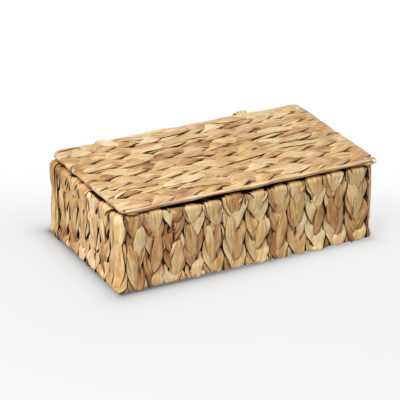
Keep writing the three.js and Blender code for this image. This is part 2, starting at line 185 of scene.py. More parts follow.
# The edge strands' unevenness, ends and reddish start
EDGE_STRAY = 0.7 * MM
EDGE_LIFT_STRAY = 0.6 * MM
EDGE_WIDTH_RUN = 20 * MM
EDGE_HEIGHT_RUN = 22 * MM
EDGE_RED_RUN = 50 * MM
EDGE_REDS = (12 * MM, 45 * MM)
EDGE_INSET = 0.4 * MM
EDGE_END = 4 * MM
EDGE_CORNER_ROOM = 3 * MM

# The lashings' two plies: radius, place beside the cord's middle, length of a twist, taper and unevenness
PLY_RADIUS = 1.05 * MM
PLY_OFFSET = 0.55 * MM
PLY_TWIST = 9 * MM
PLY_TAPER = 3 * MM
PLY_WIDTH_RUN = 6 * MM
LASHING_STRAY = 0.5 * MM

# Leaves on the lid in millimetres: start and stop, first and last place across, half width; then how pointed,
# how far over the skin, tone and reddish share
MARKED_LEAVES = {
    "lid_braid_1": ((-9, 30, 6, 8, 5.5, 0.6, 0.9, -0.05, 0.2), (-7, 40, 12, 12.5, 5, 0.6, 1.2, -0.02, 0.4)),
    "lid_braid_2": ((3, 27, 16, 1, 2.6, 0.6, 1, 0.5, 0),),
    "lid_braid_4": ((151, 179, -4, 3, 6, 0.8, 0.9, -0.12, 1),),
    "lid_braid_7": ((0, 36, -10.5, -12, 4, 0.6, 0.9, -0.08, 0.8),),
}

# Stage
BEHIND = (0.458, 0.889, 0)
BEHIND_RANGE = (-0.01, 0.21)
# The box's half footprint and the painted contact shadow on the floor round it: the range across in which it
# goes from its left to its right weight, and its reaches and depths
FOOTPRINT = (175 * MM, 104 * MM)
CONTACT_RANGE = (-0.17, 0.19)
CONTACT_LEFT = 1.45
CONTACT_RIGHT = 0.5
CONTACT_TERMS = ((9 * MM, 0.54), (60 * MM, 0.09))
FLOOR_RADIUS = 6.0
BACKDROP_RADIUS = 3.0
KEY_SIZE = 1.5
KEY_PLACE = (-1.25, -0.8, 2.0)


def paint(red, green, blue):
    """Linear colour of a screen colour given in 0 to 255."""
    parts = [value / 255 for value in (red, green, blue)]
    return tuple(p / 12.92 if p <= 0.04045 else ((p + 0.055) / 1.055) ** 2.4 for p in parts)


def length_setting(name, description, millimetres):
    """Setting for a length, with its default given in millimetres."""
    return FloatProperty(
        name=name, description=description, default=millimetres * MM, min=0, subtype="DISTANCE", unit="LENGTH"
    )


def share_setting(name, description, default):
    """Setting for a share of something."""
    return FloatProperty(name=name, description=description, default=default, subtype="FACTOR")


def colour_setting(name, description, red, green, blue):
    """Setting for a colour, with its default given as a screen colour."""
    default = paint(red, green, blue)
    return FloatVectorProperty(
        name=name, description=description, default=default, subtype="COLOR", min=0, max=1
    )


class WovenBoxPlaits(bpy.types.PropertyGroup):
    """Sizes of the braids and how evenly they are plaited"""

    wall_wave: length_setting("Wall wave", "Length in which a wall strand crosses and comes back", 92)
    lid_wave: length_setting("Lid wave", "Length in which a lid strand crosses and comes back", 105)
    base_wave: length_setting("Base wave", "Length in which a base strand crosses and comes back", 110)
    wall_share: share_setting("Wall strand width", "Half a strand's width over its braid's width", 0.285)
    lid_share: share_setting("Lid strand width", "Half a strand's width over its braid's width", 0.312)
    swell_share: share_setting("Swell", "How much wider a strand is on top than at its crossing", 0.14)
    straight_share: share_setting("Straightness", "How straight a strand runs between its turns", 0.07)
    reach: length_setting("Reach", "How far a strand's outermost edge passes its braid's boundary", 1.5)
    bulge: length_setting("Bulge", "How far the strands stand proud of the packed walls", 1.3)
    rise_share: share_setting("Rise", "How far a strand rises, over half the thickness", 0.5)
    wall_tilt: share_setting("Wall tilt", "How much a wall strand leans over the one beneath it", 0.28)
    lid_tilt: share_setting("Lid tilt", "How much a lid or base strand leans over the one beneath it", 0.13)
    step: length_setting("Step", "Distance between the rings of a strand", 1.6)
    sides: IntProperty(name="Sides", description="Points round a strand", default=26, min=8)
    unevenness: share_setting("Unevenness", "How far strands stray from an even plait", 1.0)
    seed: IntProperty(name="Seed", description="Start of the random draws", default=11)


class WovenBoxColours(bpy.types.PropertyGroup):
    """Colours of the dried stems and of what shows between them"""

    pale: colour_setting("Pale", "Lightest straw colour", 247, 225, 182)
    straw: colour_setting("Straw", "Main straw colour", 225, 187, 132)
    tan: colour_setting("Tan", "Darker straw colour", 188, 141, 90)
    brown: colour_setting("Brown", "Dark stems", 132, 86, 50)
    red: colour_setting("Red", "Reddish stretches of a stem", 176, 112, 78)
    mauve: colour_setting("Mauve", "Greyish pink stretches of a stem", 190, 150, 130)
    green: colour_setting("Green", "Yellowish green stretches of a stem", 205, 185, 120)
    # Umber is a painted shade, multiplied over a strand beside the next one's edge
    umber_shade: colour_setting("Umber", "Tint of a strand beside the next one's edge", 196, 150, 106)
    crevice: colour_setting("Crevice", "Shade between the strands", 34, 15, 6)
    wire: colour_setting("Wire", "Lacquered wire of the frames", 40, 32, 26)


class WovenBoxStage(bpy.types.PropertyGroup):
    """Floor, lamp, light from all round and camera"""

    floor: colour_setting("Floor", "Light that the floor and backdrop throw back", 205, 205, 205)
    seen_floor: colour_setting("Seen floor", "Floor and backdrop as the camera sees them", 203, 203, 203)
    # Contact is the depth of a painted shadow on the floor round the box
    painted_contact_shadow: share_setting("Contact", "How much darker the floor is where it meets the box", 1.0)
    azimuth: FloatProperty(
        name="Azimuth",
        description="Turn of the camera round the box",
        default=math.radians(-27.26),
        subtype="ANGLE",
    )
    elevation: FloatProperty(
        name="Elevation",
        description="Height of the camera as an angle",
        default=math.radians(24.12),
        subtype="ANGLE",
    )
    distance: length_setting("Distance", "From the camera to the point that it looks at", 3349.6)
    target: FloatVectorProperty(
        name="Target",
        description="Point that the camera looks at",
        default=(-0.01494, 0, 0.05161),
        subtype="XYZ",
        unit="LENGTH",
    )
    lens: FloatProperty(name="Lens", description="Focal length in millimetres", default=239.4)
    sky: FloatProperty(name="Sky", description="Strength of the light from all round", default=0.32)
    key: FloatProperty(name="Key lamp", description="Power of the large lamp", default=62, subtype="POWER")
    paper: share_setting("Paper", "Share of its own white that the camera sees on the floor", 0.76)


class Skin(NamedTuple):
    """Side view of a folded braid's outer skin, as arrays along it, and the length that strands cover"""

    distance: np.ndarray
    depth: np.ndarray
    along: np.ndarray
    out_depth: np.ndarray
    out_along: np.ndarray
    length: float
    face_start: float
    face_end: float


class Leaf(NamedTuple):
    """A loose leaf over a braid: its two ends along the skin and across, bow, half width, how pointed it
    is, how far it stands over the skin, tone and reddish share
    """

    start: float
    stop: float
    first: float
    last: float
    bow: float = 0.0
    wide: float = 6 * MM
    point: float = 0.7
    lift: float = 0.5 * MM
    tone: float = 0.0
    red: float = 0.0


class Plait(NamedTuple):
    """How one braid's strands run: strand width, tilt, wave length, way along the skin, start, half
    thicknesses, the share of a strand's half width at which the painted shade of its edge begins, the most
    gaps, the least painted shade beside a crossing strand, and the depths between which the ends of the
    folds are painted with shade
    """

    share: float
    tilt: float
    wave: float
    way: int
    start: float
    face_half: float
    fold_half: float
    tail_half: float
    edge_shade_from: float = 0.88
    slits: int = 0
    least_shade: float = 0.6
    dark_from: float = 1.5 * MM
    dark_to: float = 4.5 * MM


def smooth(low, high, value):
    """0 below low, 1 above high, and 3 t^2 - 2 t^3 between them, with t the share of the way."""
    t = np.clip((value - low) / (high - low), 0, 1)
    return t * t * (3 - 2 * t)


def wander(rng, where, spacing, size, rows=STRANDS):
    """One slow random curve per row: random values a spacing apart, joined by smooth steps."""
    place = (where - where.min()) / spacing
    low = np.floor(place).astype(int)
    values = rng.uniform(-size, size, (rows, low.max() + 2))
    part = smooth(0, 1, place - low)
    return values[:, low] * (1 - part) + values[:, low + 1] * part


def folded_skin(length, fold, first_tail, last_tail, spacing=0.0004, spare=0.012):
    """Skin down the first tail, round a squarish half turn of the fold's thickness, along the face, round
    and down again. A half turn is the curve (r |cos t|^0.6, r |sin t|^0.6), with r half the fold.

    Tails lie at the depth of the fold, the face at depth 0. Both ends run on straight by the spare length.
    """
    radius = fold / 2
    turn = np.linspace(0, math.pi, 40)[1:-1]
    sideways = np.sign(np.cos(turn)) * np.abs(np.cos(turn)) ** 0.6
    endways = np.sin(turn) ** 0.6
    first = np.arange(first_tail + spare, radius, -spacing)
    face = np.arange(radius, length - radius, spacing)
    last = np.arange(length - radius, length - last_tail - spare, -spacing)
    still = [np.zeros_like(part) for part in (first, face, last)]
    bend = radius * sideways
    depth = [still[0] + fold, radius + bend, still[1], radius - bend, still[2] + fold]
    along = [first, radius - radius * endways, face, length - radius + radius * endways, last]
    out_depth = [still[0] + 1, np.cos(turn), still[1] - 1, -np.cos(turn), still[2] + 1]
    out_along = [still[0], -np.sin(turn), still[1], np.sin(turn), still[2]]
    depth, along, out_depth, out_along = map(np.concatenate, (depth, along, out_depth, out_along))
    steps = np.hypot(np.diff(depth), np.diff(along))
    distance = np.concatenate([[0], np.cumsum(steps)]) - spare
    face_start = distance[len(first) + len(turn)]
    face_end = distance[len(first) + len(turn) + len(face) - 1]
    return Skin(distance, depth, along, out_depth, out_along, distance[-1] - spare, face_start, face_end)


def section(sides, power, crown_power):
    """Superellipse (|cos t|^power, |sin t|^crown_power), with the signs of the cosine and the sine."""
    ring = 2 * math.pi * (np.arange(sides) + 0.5) / sides
    share = np.sign(np.cos(ring)) * np.abs(np.cos(ring)) ** power
    return share, np.sign(np.sin(ring)) * np.abs(np.sin(ring)) ** crown_power


def flat_skin(length, spacing=0.0004, spare=0.012):
    """Straight skin from end to end, without folds."""
    along = np.arange(-spare, length + spare, spacing)
    none = np.zeros_like(along)
    return Skin(along, none, along, none - 1, none, length, 0.0, length)


def on_skin(skin, distance, out, half):
    """Depth and place along the face of points that lie out from the middle layer, half a thickness under
    the skin.
    """
    lift = out - half
    at = distance.ravel()
    depth = np.interp(at, skin.distance, skin.depth).reshape(distance.shape)
    along = np.interp(at, skin.distance, skin.along).reshape(distance.shape)
    out_depth = np.interp(at, skin.distance, skin.out_depth).reshape(distance.shape)
    out_along = np.interp(at, skin.distance, skin.out_along).reshape(distance.shape)
    return depth + lift * out_depth, along + lift * out_along


def half_thickness(skin, plait, distance):
    """Half the braid's thickness: full along the face, thinner round the folds and thinnest in the tails."""
    first, last, ramp = skin.face_start, skin.face_end, FOLD_RAMP
    rise = smooth(first, first + ramp, distance) * (1 - smooth(last - ramp, last, distance))
    tails = smooth(first - 2 * ramp, first - ramp / 2, distance)
    tails = tails * (1 - smooth(last + ramp / 2, last + 2 * ramp, distance))
    base = plait.tail_half + (plait.fold_half - plait.tail_half) * tails
    return base + (plait.face_half - base) * rise


def strand_rings(rng, skin, plait, width, settings):
    """Rings of the three strands of a braid, in width, distance and height over the middle layer.

    With a the plait angle, way * 2 pi (s - start) / wave + a third of a turn for each strand, a strand's
    middle is swing * sin(a) across and -rise * sin(2 a) out: it comes from an edge to the middle on top,
    and goes on to the other edge underneath. It leans by tilt * (sin(b) + sin(3 b)), with b = a - 45
    degrees, so that its trailing edge lies on the strand beneath. Its section is a superellipse square to
    its path, with low ridges 0.1 sin(7.5 u) + 0.06 sin(13 u) and one crease exp(-(u / 0.13)^2) over the
    share u of its half width.
    """
    uneven = settings.unevenness
    s = np.linspace(0, skin.length, int(skin.length / settings.step) + 1)
    third = 2 * math.pi * np.arange(STRANDS)[:, None] / STRANDS
    drift = wander(rng, s, DRIFT_RUN, 0.2 * uneven, 1) + wander(rng, s, SWAY_RUN, 0.3 * uneven)
    a = plait.way * 2 * math.pi * (s - plait.start) / plait.wave + third + drift
    half = half_thickness(skin, plait, s)
    flat = 1 - half / half.max()
    on_top = -np.sin(2 * a)
    wide = plait.share * width * (1 + settings.swell_share * on_top + 0.3 * flat)
    wide = wide * (1 + wander(rng, s, WIDTH_RUN, 0.17 * uneven))
    swing = width / 2 + settings.reach - plait.share * width
    swing = swing * (1 + wander(rng, s, SWAY_RUN, 0.08 * uneven))
    bow = (np.sin(a) - settings.straight_share * np.sin(3 * a)) / (1 + settings.straight_share)
    x = swing * bow + wander(rng, s, STRAY_RUN, STRAND_STRAY * uneven)
    out = settings.rise_share * half * on_top + half * wander(rng, s, RISE_RUN, 0.07 * uneven)
    high = (1 - settings.rise_share) * half * (1 + wander(rng, s, HEIGHT_RUN, 0.16 * uneven))
    b = a - math.pi / 4
    lean = plait.tilt * (np.sin(b) + np.sin(3 * b)) + wander(rng, s, RISE_RUN, 0.05 * uneven)
    end = np.minimum(s, skin.length - s) / STRAND_TAPER
    close = np.sqrt(np.clip(1 - (1 - np.clip(end, 0, 1)) ** 2, 0.02, 1))
    wide, high = wide * close, high * close
    slope = np.gradient(x, s, axis=1)
    size = np.hypot(1, slope)
    share, crown = section(settings.sides, 0.85, 0.5)
    p = wide[..., None] * share
    groove = wander(rng, s, GROOVE_RUN, 1.2)[..., None]
    ridges = 0.1 * np.sin(7.5 * share + 2 * groove) + 0.06 * np.sin(13 * share - 3 * groove)
    crease = np.exp(-(((share - wander(rng, s, GROOVE_RUN, 0.6)[..., None]) / 0.13) ** 2))
    crease = crease * smooth(-0.2, 0.6, wander(rng, s, RISE_RUN, 1.0))[..., None]
    q = high[..., None] * crown * (1 + (ridges - 0.3 * crease) * (1 - share**4))
    across = x[..., None] + p / size[..., None]
    distance = s[:, None] - p * (slope / size)[..., None]
    height = out[..., None] + q * np.cos(lean)[..., None] + p * np.sin(lean)[..., None]
    facts = {"s": s, "x": x, "wide": wide * size, "out": out, "high": high}
    # Painted shade: darker beside and under the edge of a crossing strand, weaker at random along the strand
    least = plait.least_shade
    strength = least + (1 - least) * smooth(-0.4, 0.5, wander(rng, s, SHADE_RUN, 1))
    shade = cover_shade(facts, across, distance, height, np.sign(crown)) * strength[..., None]
    # Slits: a real dent of SLIT_DEPTH, painted dark as the shade in it
    slit = slit_share(rng, skin, across, distance, width, plait.slits)
    height = height - SLIT_DEPTH * slit
    # Painted shade at each strand's own edges and in its crease
    edge = smooth(plait.edge_shade_from, 0.5 + 0.5 * plait.edge_shade_from, np.abs(share))
    shade = np.maximum(np.maximum(shade, slit), 0.9 * edge + 0.3 * crease)
    return across, distance, height, np.broadcast_to(half[:, None], p.shape), p, s, share, shade


def slit_share(rng, skin, across, distance, width, most):
    """How far points lie in one of the few narrow upright gaps at a braid's middle line or its boundary,
    from 0 to 1: exp(-(x / half width)^4 - (s / half length)^4). The gaps are dented, and painted dark as the
    shade in them.
    """
    share = np.zeros_like(across)
    for _ in range(rng.integers(most // 2, most + 1)):
        middle = rng.choice((-0.5, 0, 0, 0.5)) * width + rng.normal(0, 1) * MM
        along = rng.uniform(skin.face_start + SLIT_ENDS[0], skin.face_end - SLIT_ENDS[1])
        half_width, half_length = rng.uniform(0.8, 1.5) * MM, rng.uniform(4, 11) * MM
        taper = 1 + 0.5 * (distance - along) / half_length
        near = ((across - middle) / half_width * taper) ** 4 + ((distance - along) / half_length) ** 4
        share = np.maximum(share, np.exp(-np.clip(near, 0, 30)))
    return share


def cover_shade(facts, across, distance, height, side):
    """How much painted shade a point gets, from 0 to 1: it is near or under the edge of a strand that passes
    over it.
    """
    shade = np.zeros_like(across)
    at = distance.ravel()
    for other in range(STRANDS):
        middle, wide, out, high = (
            np.interp(at, facts["s"], facts[key][other]).reshape(across.shape)
            for key in ("x", "wide", "out", "high")
        )
        over = smooth(-COVER_MARGIN, COVER_MARGIN * 0.2, wide - np.abs(across - middle)) ** 1.2
        above = smooth(0.1 * high, 0.9 * high, side * (out - height) + 0.4 * high)
        covered = over * above
        covered[other] = 0
        shade = np.maximum(shade, covered)
    return shade


def leaf_rings(rng, skin, leaves, place, number, sides=18):
    """Rings and facts of loose leaves over a skin.

    With h = sin(pi t) along a leaf, its half width is wide * h^point and its middle lies (lift + dip) *
    h^0.4 - dip over the skin, so that both tips go under the braid. It bows across by bow * h.
    """
    t = np.linspace(0, 1, 34)
    hump = np.sin(math.pi * (0.03 + 0.94 * t))
    start, stop, first, last, bow, wide, point, lift, tone, red = np.array(leaves).T[..., None]
    s = start + (stop - start) * t
    x = first + (last - first) * t + bow * hump + wander(rng, t, 0.3, LEAF_STRAY, len(leaves))
    wide = wide * hump**point * (1 + wander(rng, t, 0.22, 0.16, len(leaves)))
    out = (lift + LEAF_DIP) * hump**0.4 - LEAF_DIP
    slope = np.gradient(x, axis=1) / np.gradient(s, axis=1)
    size = np.hypot(1, slope)
    share, crown = section(sides, 0.8, 0.6)
    p = wide[..., None] * share
    lean = rng.uniform(-0.12, 0.12, (len(leaves), 1, 1))
    groove = 0.25 * np.sin(9 * share + 3 * wander(rng, t, 0.5, 1, len(leaves))[..., None]) * (1 - share**4)
    q = LEAF_THICKNESS * (0.4 + 0.6 * hump[:, None]) * crown * (1 + groove)
    across = x[..., None] + p / size[..., None]
    distance = s[..., None] - p * (slope / size)[..., None]
    depth, along = on_skin(skin, distance, out[..., None] + q + p * lean, 0)
    tone = tone + wander(rng, t, 0.4, 0.1, len(leaves)) + rng.normal(0, 0.07, (len(leaves), 1))
    tone = tone[..., None] + rng.normal(0, 0.1, (len(leaves), 1, 1)) * share
    # Painted shade at each leaf's edges and at its tips, where they go under the braid
    shade = np.maximum(0.9 * smooth(0.88, 1.0, np.abs(share)), 0.7 * (1 - smooth(0.1, 0.3, hump))[:, None])
    numbers = number + np.arange(len(leaves))[:, None, None]
    parts = [p, s[..., None], numbers, tone, red[..., None], shade]
    p, s, numbers, tone, red, shade = (np.broadcast_to(part, across.shape) for part in parts)
    facts = {"fibre": np.stack([p, s, numbers], axis=-1), "tone": np.stack([tone, red, shade], axis=-1)}
    return place(across, depth, along), facts


def shade_leaf(skin, plait, place, left, right, number, dark=1.0, count=160, sides=8):
    """Rings and facts of the leaf inside a braid, painted dark as the shade that shows between the strands: a
    flat band in the middle layer, from left to right across and all along the skin but for its last 3 mm.
    """
    s = np.linspace(INNER_END, skin.length - INNER_END, count)
    share, crown = section(sides, 0.6, 0.6)
    shape = (1, count, sides)
    across = np.broadcast_to((left + right) / 2 + (right - left) / 2 * share, shape)
    distance = np.broadcast_to(s[:, None], shape)
    height = np.broadcast_to(INNER_CROWN * crown, shape)
    half = np.broadcast_to(half_thickness(skin, plait, s)[:, None], shape)
    depth, along = on_skin(skin, distance, height, half)
    none = np.zeros(shape)
    fibre = np.stack([across, distance, none + number], axis=-1)
    # Brown tone under the crevice colour: painted shade between the strands
    tone = np.stack([none - 0.5, none, none + dark], axis=-1)
    return place(across, depth, along), {"fibre": fibre, "tone": tone}


def leaves_mesh(name, parts):
    """One mesh of the leaves of several braids, each part being rings and facts."""
    rings = np.concatenate([part[0] for part in parts])
    facts = {key: np.concatenate([part[1][key] for part in parts]) for key in parts[0][1]}
    return tube_mesh(name, rings, facts)


def tube_mesh(name, rings, facts):
    """Closed tubes from rings of points. Neighbouring rings are joined by four-sided faces, and each end by
    a fan to the middle of its last ring. The faces are turned about if the volume that they enclose comes
    out negative.
    """
    tubes, count, sides, _ = rings.shape
    poles = rings[:, [0, -1]].mean(axis=2).reshape(-1, 3)
    points = np.concatenate([rings.reshape(-1, 3), poles])
    grid = np.arange(tubes * count * sides).reshape(tubes, count, sides)
    after = np.roll(grid, -1, axis=2)
    quads = np.stack([grid[:, :-1], after[:, :-1], after[:, 1:], grid[:, 1:]], axis=-1).reshape(-1, 4)
    pole = tubes * count * sides + np.arange(2 * tubes).reshape(tubes, 2, 1)
    pole = np.broadcast_to(pole, (tubes, 2, sides))
    first = np.stack([pole[:, 0], after[:, 0], grid[:, 0]], axis=-1)
    last = np.stack([pole[:, 1], grid[:, -1], after[:, -1]], axis=-1)
    fans = np.concatenate([first, last]).reshape(-1, 3)
    centred = points - points.mean(axis=0)
    a, b, c, d = (centred[quads[:, k]] for k in range(4))
    if np.einsum("ij,ij->", np.cross(a, b), c) + np.einsum("ij,ij->", np.cross(a, c), d) < 0:
        quads, fans = quads[:, ::-1], fans[:, ::-1]
    corners = np.concatenate([quads.ravel(), fans.ravel()]).astype(np.int32)
    starts = np.concatenate([4 * np.arange(len(quads)), 4 * len(quads) + 3 * np.arange(len(fans))])
    mesh = bpy.data.meshes.new(name)
    mesh.vertices.add(len(points))
    mesh.vertices.foreach_set("co", points.astype(np.float32).ravel())
    mesh.loops.add(len(corners))
    mesh.loops.foreach_set("vertex_index", corners)
    mesh.polygons.add(len(starts))
    mesh.polygons.foreach_set("loop_start", starts.astype(np.int32))
    mesh.update(calc_edges=True)
    mesh.shade_smooth()
    for key, values in facts.items():
        ends = values[:, [0, -1]].mean(axis=2).reshape(-1, 3)
        data = np.concatenate([values.reshape(-1, 3), ends]).astype(np.float32)
        mesh.attributes.new(key, "FLOAT_VECTOR", "POINT").data.foreach_set("vector", data.ravel())
    return mesh


def add_piece(name, mesh, material, body, slot, *nodes):
    """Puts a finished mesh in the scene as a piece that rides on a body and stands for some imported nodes."""
    piece = bpy.data.objects.new(name, mesh)
    bpy.context.scene.collection.objects.link(piece)
    mesh.materials.append(material)
    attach(piece, body)
    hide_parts(*nodes)
    return piece


def strand_tones(rng, s, shape, share, spread):
    """Tone and reddish share of each strand: a draw for the strand, with slow changes along and across it."""
    base = rng.normal(0, spread, STRANDS)[:, None]
    tone = base + wander(rng, s, TONE_RUN, 1.1 * spread) + wander(rng, s, FINE_TONE_RUN, 0.5 * spread)
    lean = wander(rng, s, TONE_RUN, 1.3 * spread)[..., None] * share
    red = smooth(0.45, 1.0, rng.uniform(-1, 1, STRANDS)[:, None] * 0.75 + wander(rng, s, RED_RUN, 0.6))
    tone = np.broadcast_to(tone[..., None], shape) + lean
    return tone, np.broadcast_to(red[..., None], shape)


def plaited_mesh(name, index, skin, plait, width, place, settings, spread=0.085):
    """Mesh of one braid. The place function turns width, depth and way along the face into the frame."""
    rng = np.random.default_rng(settings.seed + index)
    across, distance, height, half, p, s, share, shade = strand_rings(rng, skin, plait, width, settings)
    depth, along = on_skin(skin, distance, height, half)
    rings = place(across, depth, along)
    # Painted shade on the ends of the folds, such as the rim's top under the lid and the lid's underside
    upward = np.interp(distance.ravel(), skin.distance, skin.out_along).reshape(distance.shape)
    fold_shade = 0.9 * smooth(0.2, 0.7, np.abs(upward)) * smooth(plait.dark_from, plait.dark_to, depth)
    shade = np.maximum(shade, fold_shade)
    tone, red = strand_tones(rng, s, across.shape, share, spread)
    number = np.broadcast_to((index * STRANDS + np.arange(STRANDS))[:, None, None] * 1.0, across.shape)
    fibre = np.broadcast_to(s[:, None], across.shape)
    facts = {"fibre": np.stack([p, fibre, number], axis=-1), "tone": np.stack([tone, red, shade], axis=-1)}
    return tube_mesh(name, rings, facts)


def node(tree, kind, inputs=None, **settings):
    """A new node. Settings are its own values; inputs are its sockets: a value or another node's output."""
    made = tree.nodes.new(kind)
    for key, value in settings.items():
        setattr(made, key, value)
    for key, value in (inputs or {}).items():
        if isinstance(value, bpy.types.NodeSocket):
            tree.links.new(value, made.inputs[key])
        else:
            made.inputs[key].default_value = value
    return made


def math_node(tree, operation, first, second=0.0, third=0.0, clamp=False):
    """Output of a new Math node, whose inputs are numbers or other nodes' outputs."""
    inputs = {0: first, 1: second, 2: third}
    return node(tree, "ShaderNodeMath", inputs, operation=operation, use_clamp=clamp).outputs[0]


def stretched_noise(tree, fibre, across, along, detail=2.0):
    """Noise drawn out along the fibre: so many grains to the metre across and along it."""
    place = node(tree, "ShaderNodeVectorMath", {0: fibre, 1: (across, along, 7.31)}, operation="MULTIPLY")
    noise = node(tree, "ShaderNodeTexNoise", {"Vector": place.outputs[0], "Scale": 1.0, "Detail": detail})
    return noise.outputs["Fac"]


def mixed(tree, share, first, second, blend="MIX"):
    """Colour between two colours, each a red, green and blue or another node's output."""
    inputs = {"Factor": share, "A": first, "B": second}
    made = node(tree, "ShaderNodeMix", data_type="RGBA", blend_type=blend)
    for key, value in inputs.items():
        kind = "VALUE" if key == "Factor" else "RGBA"
        socket = next(s for s in made.inputs if s.name == key and s.type == kind)
        if isinstance(value, bpy.types.NodeSocket):
            tree.links.new(value, socket)
        else:
            socket.default_value = value if key == "Factor" else (*value, 1)
    return next(s for s in made.outputs if s.type == "RGBA")


def ranged(tree, value, low, high):
    """Smooth step of a value between low and high."""
    inputs = {"Value": value, "From Min": low, "From Max": high}
    made = node(tree, "ShaderNodeMapRange", inputs, interpolation_type="SMOOTHSTEP")
    return made.outputs["Result"]


def fibre_material(name, colours, lift=0.0, shade_depth=0.95, pink=0.35, tint=(1, 1, 1)):
    """Dried stem: straw tones in long streaks, thin dark fibre lines, red, mauve and green stretches, and
    painted shade where one strand dips under the next. The bump is fine lengthwise fibre. Lift makes all of
    it lighter, pink is the share of mauve, the shade depth is how dark the painted shade gets, and the tint
    is multiplied over the straw; on the walls the tint is a painted warm shade.
    """
    material = bpy.data.materials.new(name)
    material.use_nodes = True
    tree = material.node_tree
    tree.nodes.clear()
    fibre = node(tree, "ShaderNodeAttribute", attribute_name="fibre").outputs["Vector"]
    facts = node(tree, "ShaderNodeAttribute", attribute_name="tone").outputs["Vector"]
    parts = node(tree, "ShaderNodeSeparateXYZ", {0: facts}).outputs
    streak = stretched_noise(tree, fibre, 480, 24, 3.0)
    fine = stretched_noise(tree, fibre, 1900, 60, 3.0)
    blotch = stretched_noise(tree, fibre, 110, 40)
    vein = stretched_noise(tree, fibre, 420, 20, 1.0)
    mottle = stretched_noise(tree, fibre, 260, 90, 3.0)
    tone = math_node(tree, "MULTIPLY_ADD", streak, 0.95, lift + 0.03)
    tone = math_node(tree, "MULTIPLY_ADD", fine, 0.4, math_node(tree, "SUBTRACT", tone, 0.2))
    tone = math_node(tree, "MULTIPLY_ADD", math_node(tree, "SUBTRACT", mottle, 0.5), 0.5, tone)
    tone = math_node(tree, "ADD", tone, parts[0])
    ramp = node(tree, "ShaderNodeValToRGB", {0: tone})
    stops = [(0.08, colours.brown), (0.32, colours.tan), (0.52, colours.straw), (0.85, colours.pale)]
    while len(ramp.color_ramp.elements) < len(stops):
        ramp.color_ramp.elements.new(0.5)
    for element, (place, colour) in zip(ramp.color_ramp.elements, stops):
        element.position = place
        element.color = (*colour, 1)
    colour = ramp.outputs["Color"]
    red = math_node(tree, "MULTIPLY", parts[1], ranged(tree, blotch, 0.3, 0.62), clamp=True)
    colour = mixed(tree, math_node(tree, "MULTIPLY", red, 0.75), colour, tuple(colours.red))
    mauve = ranged(tree, stretched_noise(tree, fibre, 60, 24), 0.5, 0.72)
    colour = mixed(tree, math_node(tree, "MULTIPLY", mauve, pink), colour, tuple(colours.mauve))
    green = ranged(tree, stretched_noise(tree, fibre, 75, 18), 0.55, 0.75)
    colour = mixed(tree, math_node(tree, "MULTIPLY", green, 0.45), colour, tuple(colours.green))
    colour = mixed(tree, 1.0, colour, tint, "MULTIPLY")
    line = math_node(tree, "ABSOLUTE", math_node(tree, "SUBTRACT", vein, 0.5))
    line = math_node(tree, "SUBTRACT", 1.0, ranged(tree, line, 0.0, 0.026))
    colour = mixed(tree, math_node(tree, "MULTIPLY", line, 0.4), colour, tuple(colours.brown))
    # Painted shade: umber multiplied in near a crossing strand's edge, then the crevice colour
    shade_halo = math_node(tree, "MULTIPLY", ranged(tree, parts[2], 0.0, 0.5), 0.65 * shade_depth)
    colour = mixed(tree, shade_halo, colour, tuple(colours.umber_shade), "MULTIPLY")
    dark = math_node(tree, "MULTIPLY", ranged(tree, parts[2], 0.4, 0.8), shade_depth)
    colour = mixed(tree, dark, colour, tuple(colours.crevice))
    height = math_node(tree, "MULTIPLY_ADD", streak, 1.0, math_node(tree, "MULTIPLY", fine, 0.5))
    height = math_node(tree, "MULTIPLY_ADD", line, -0.35, height)
    bump = node(tree, "ShaderNodeBump", {"Height": height, "Strength": 0.6, "Distance": 0.0006})
    rough = math_node(tree, "MULTIPLY_ADD", fine, 0.25, 0.5)
    inputs = {"Base Color": colour, "Roughness": rough, "Specular IOR Level": 0.35}
    shader = node(tree, "ShaderNodeBsdfPrincipled", {**inputs, "Normal": bump.outputs["Normal"]})
    output = node(tree, "ShaderNodeOutputMaterial")
    tree.links.new(shader.outputs[0], output.inputs["Surface"])
    return material


def found_material(name, make):
    """The material of that name, made by the first piece that asks for it."""
    return bpy.data.materials.get(name) or make(name)


def wall_fibre(colours):
    """Stems of the walls, browner by the walls' tint, a painted warm shade, and with deeper painted shade than
    the lid's.
    """
    looks = {"lift": 0.02, "shade_depth": 1.2, "pink": 0.3, "tint": WALL_SHADE_TINT}
    return found_material("wall_stems", lambda name: fibre_material(name, colours, **looks))


def lid_fibre(colours):
    """Stems of the lid, with soft painted shade and more pink."""
    looks = {"lift": 0.04, "shade_depth": 0.64, "pink": 0.5}
    return found_material("lid_stems", lambda name: fibre_material(name, colours, **looks))


def base_fibre(colours):
    """Stems of the base, a little darker."""
    return found_material("base_stems", lambda name: fibre_material(name, colours, lift=-0.05))


def edge_fibre(colours):
    """Pale pinkish stems along the lid's edges."""
    return found_material("edge_stems", lambda name: fibre_material(name, colours, lift=0.12, pink=0.8))


def nodes_named(start):
    """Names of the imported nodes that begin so, in order."""
    return sorted(name for name in frame["nodes"] if name.startswith(start))


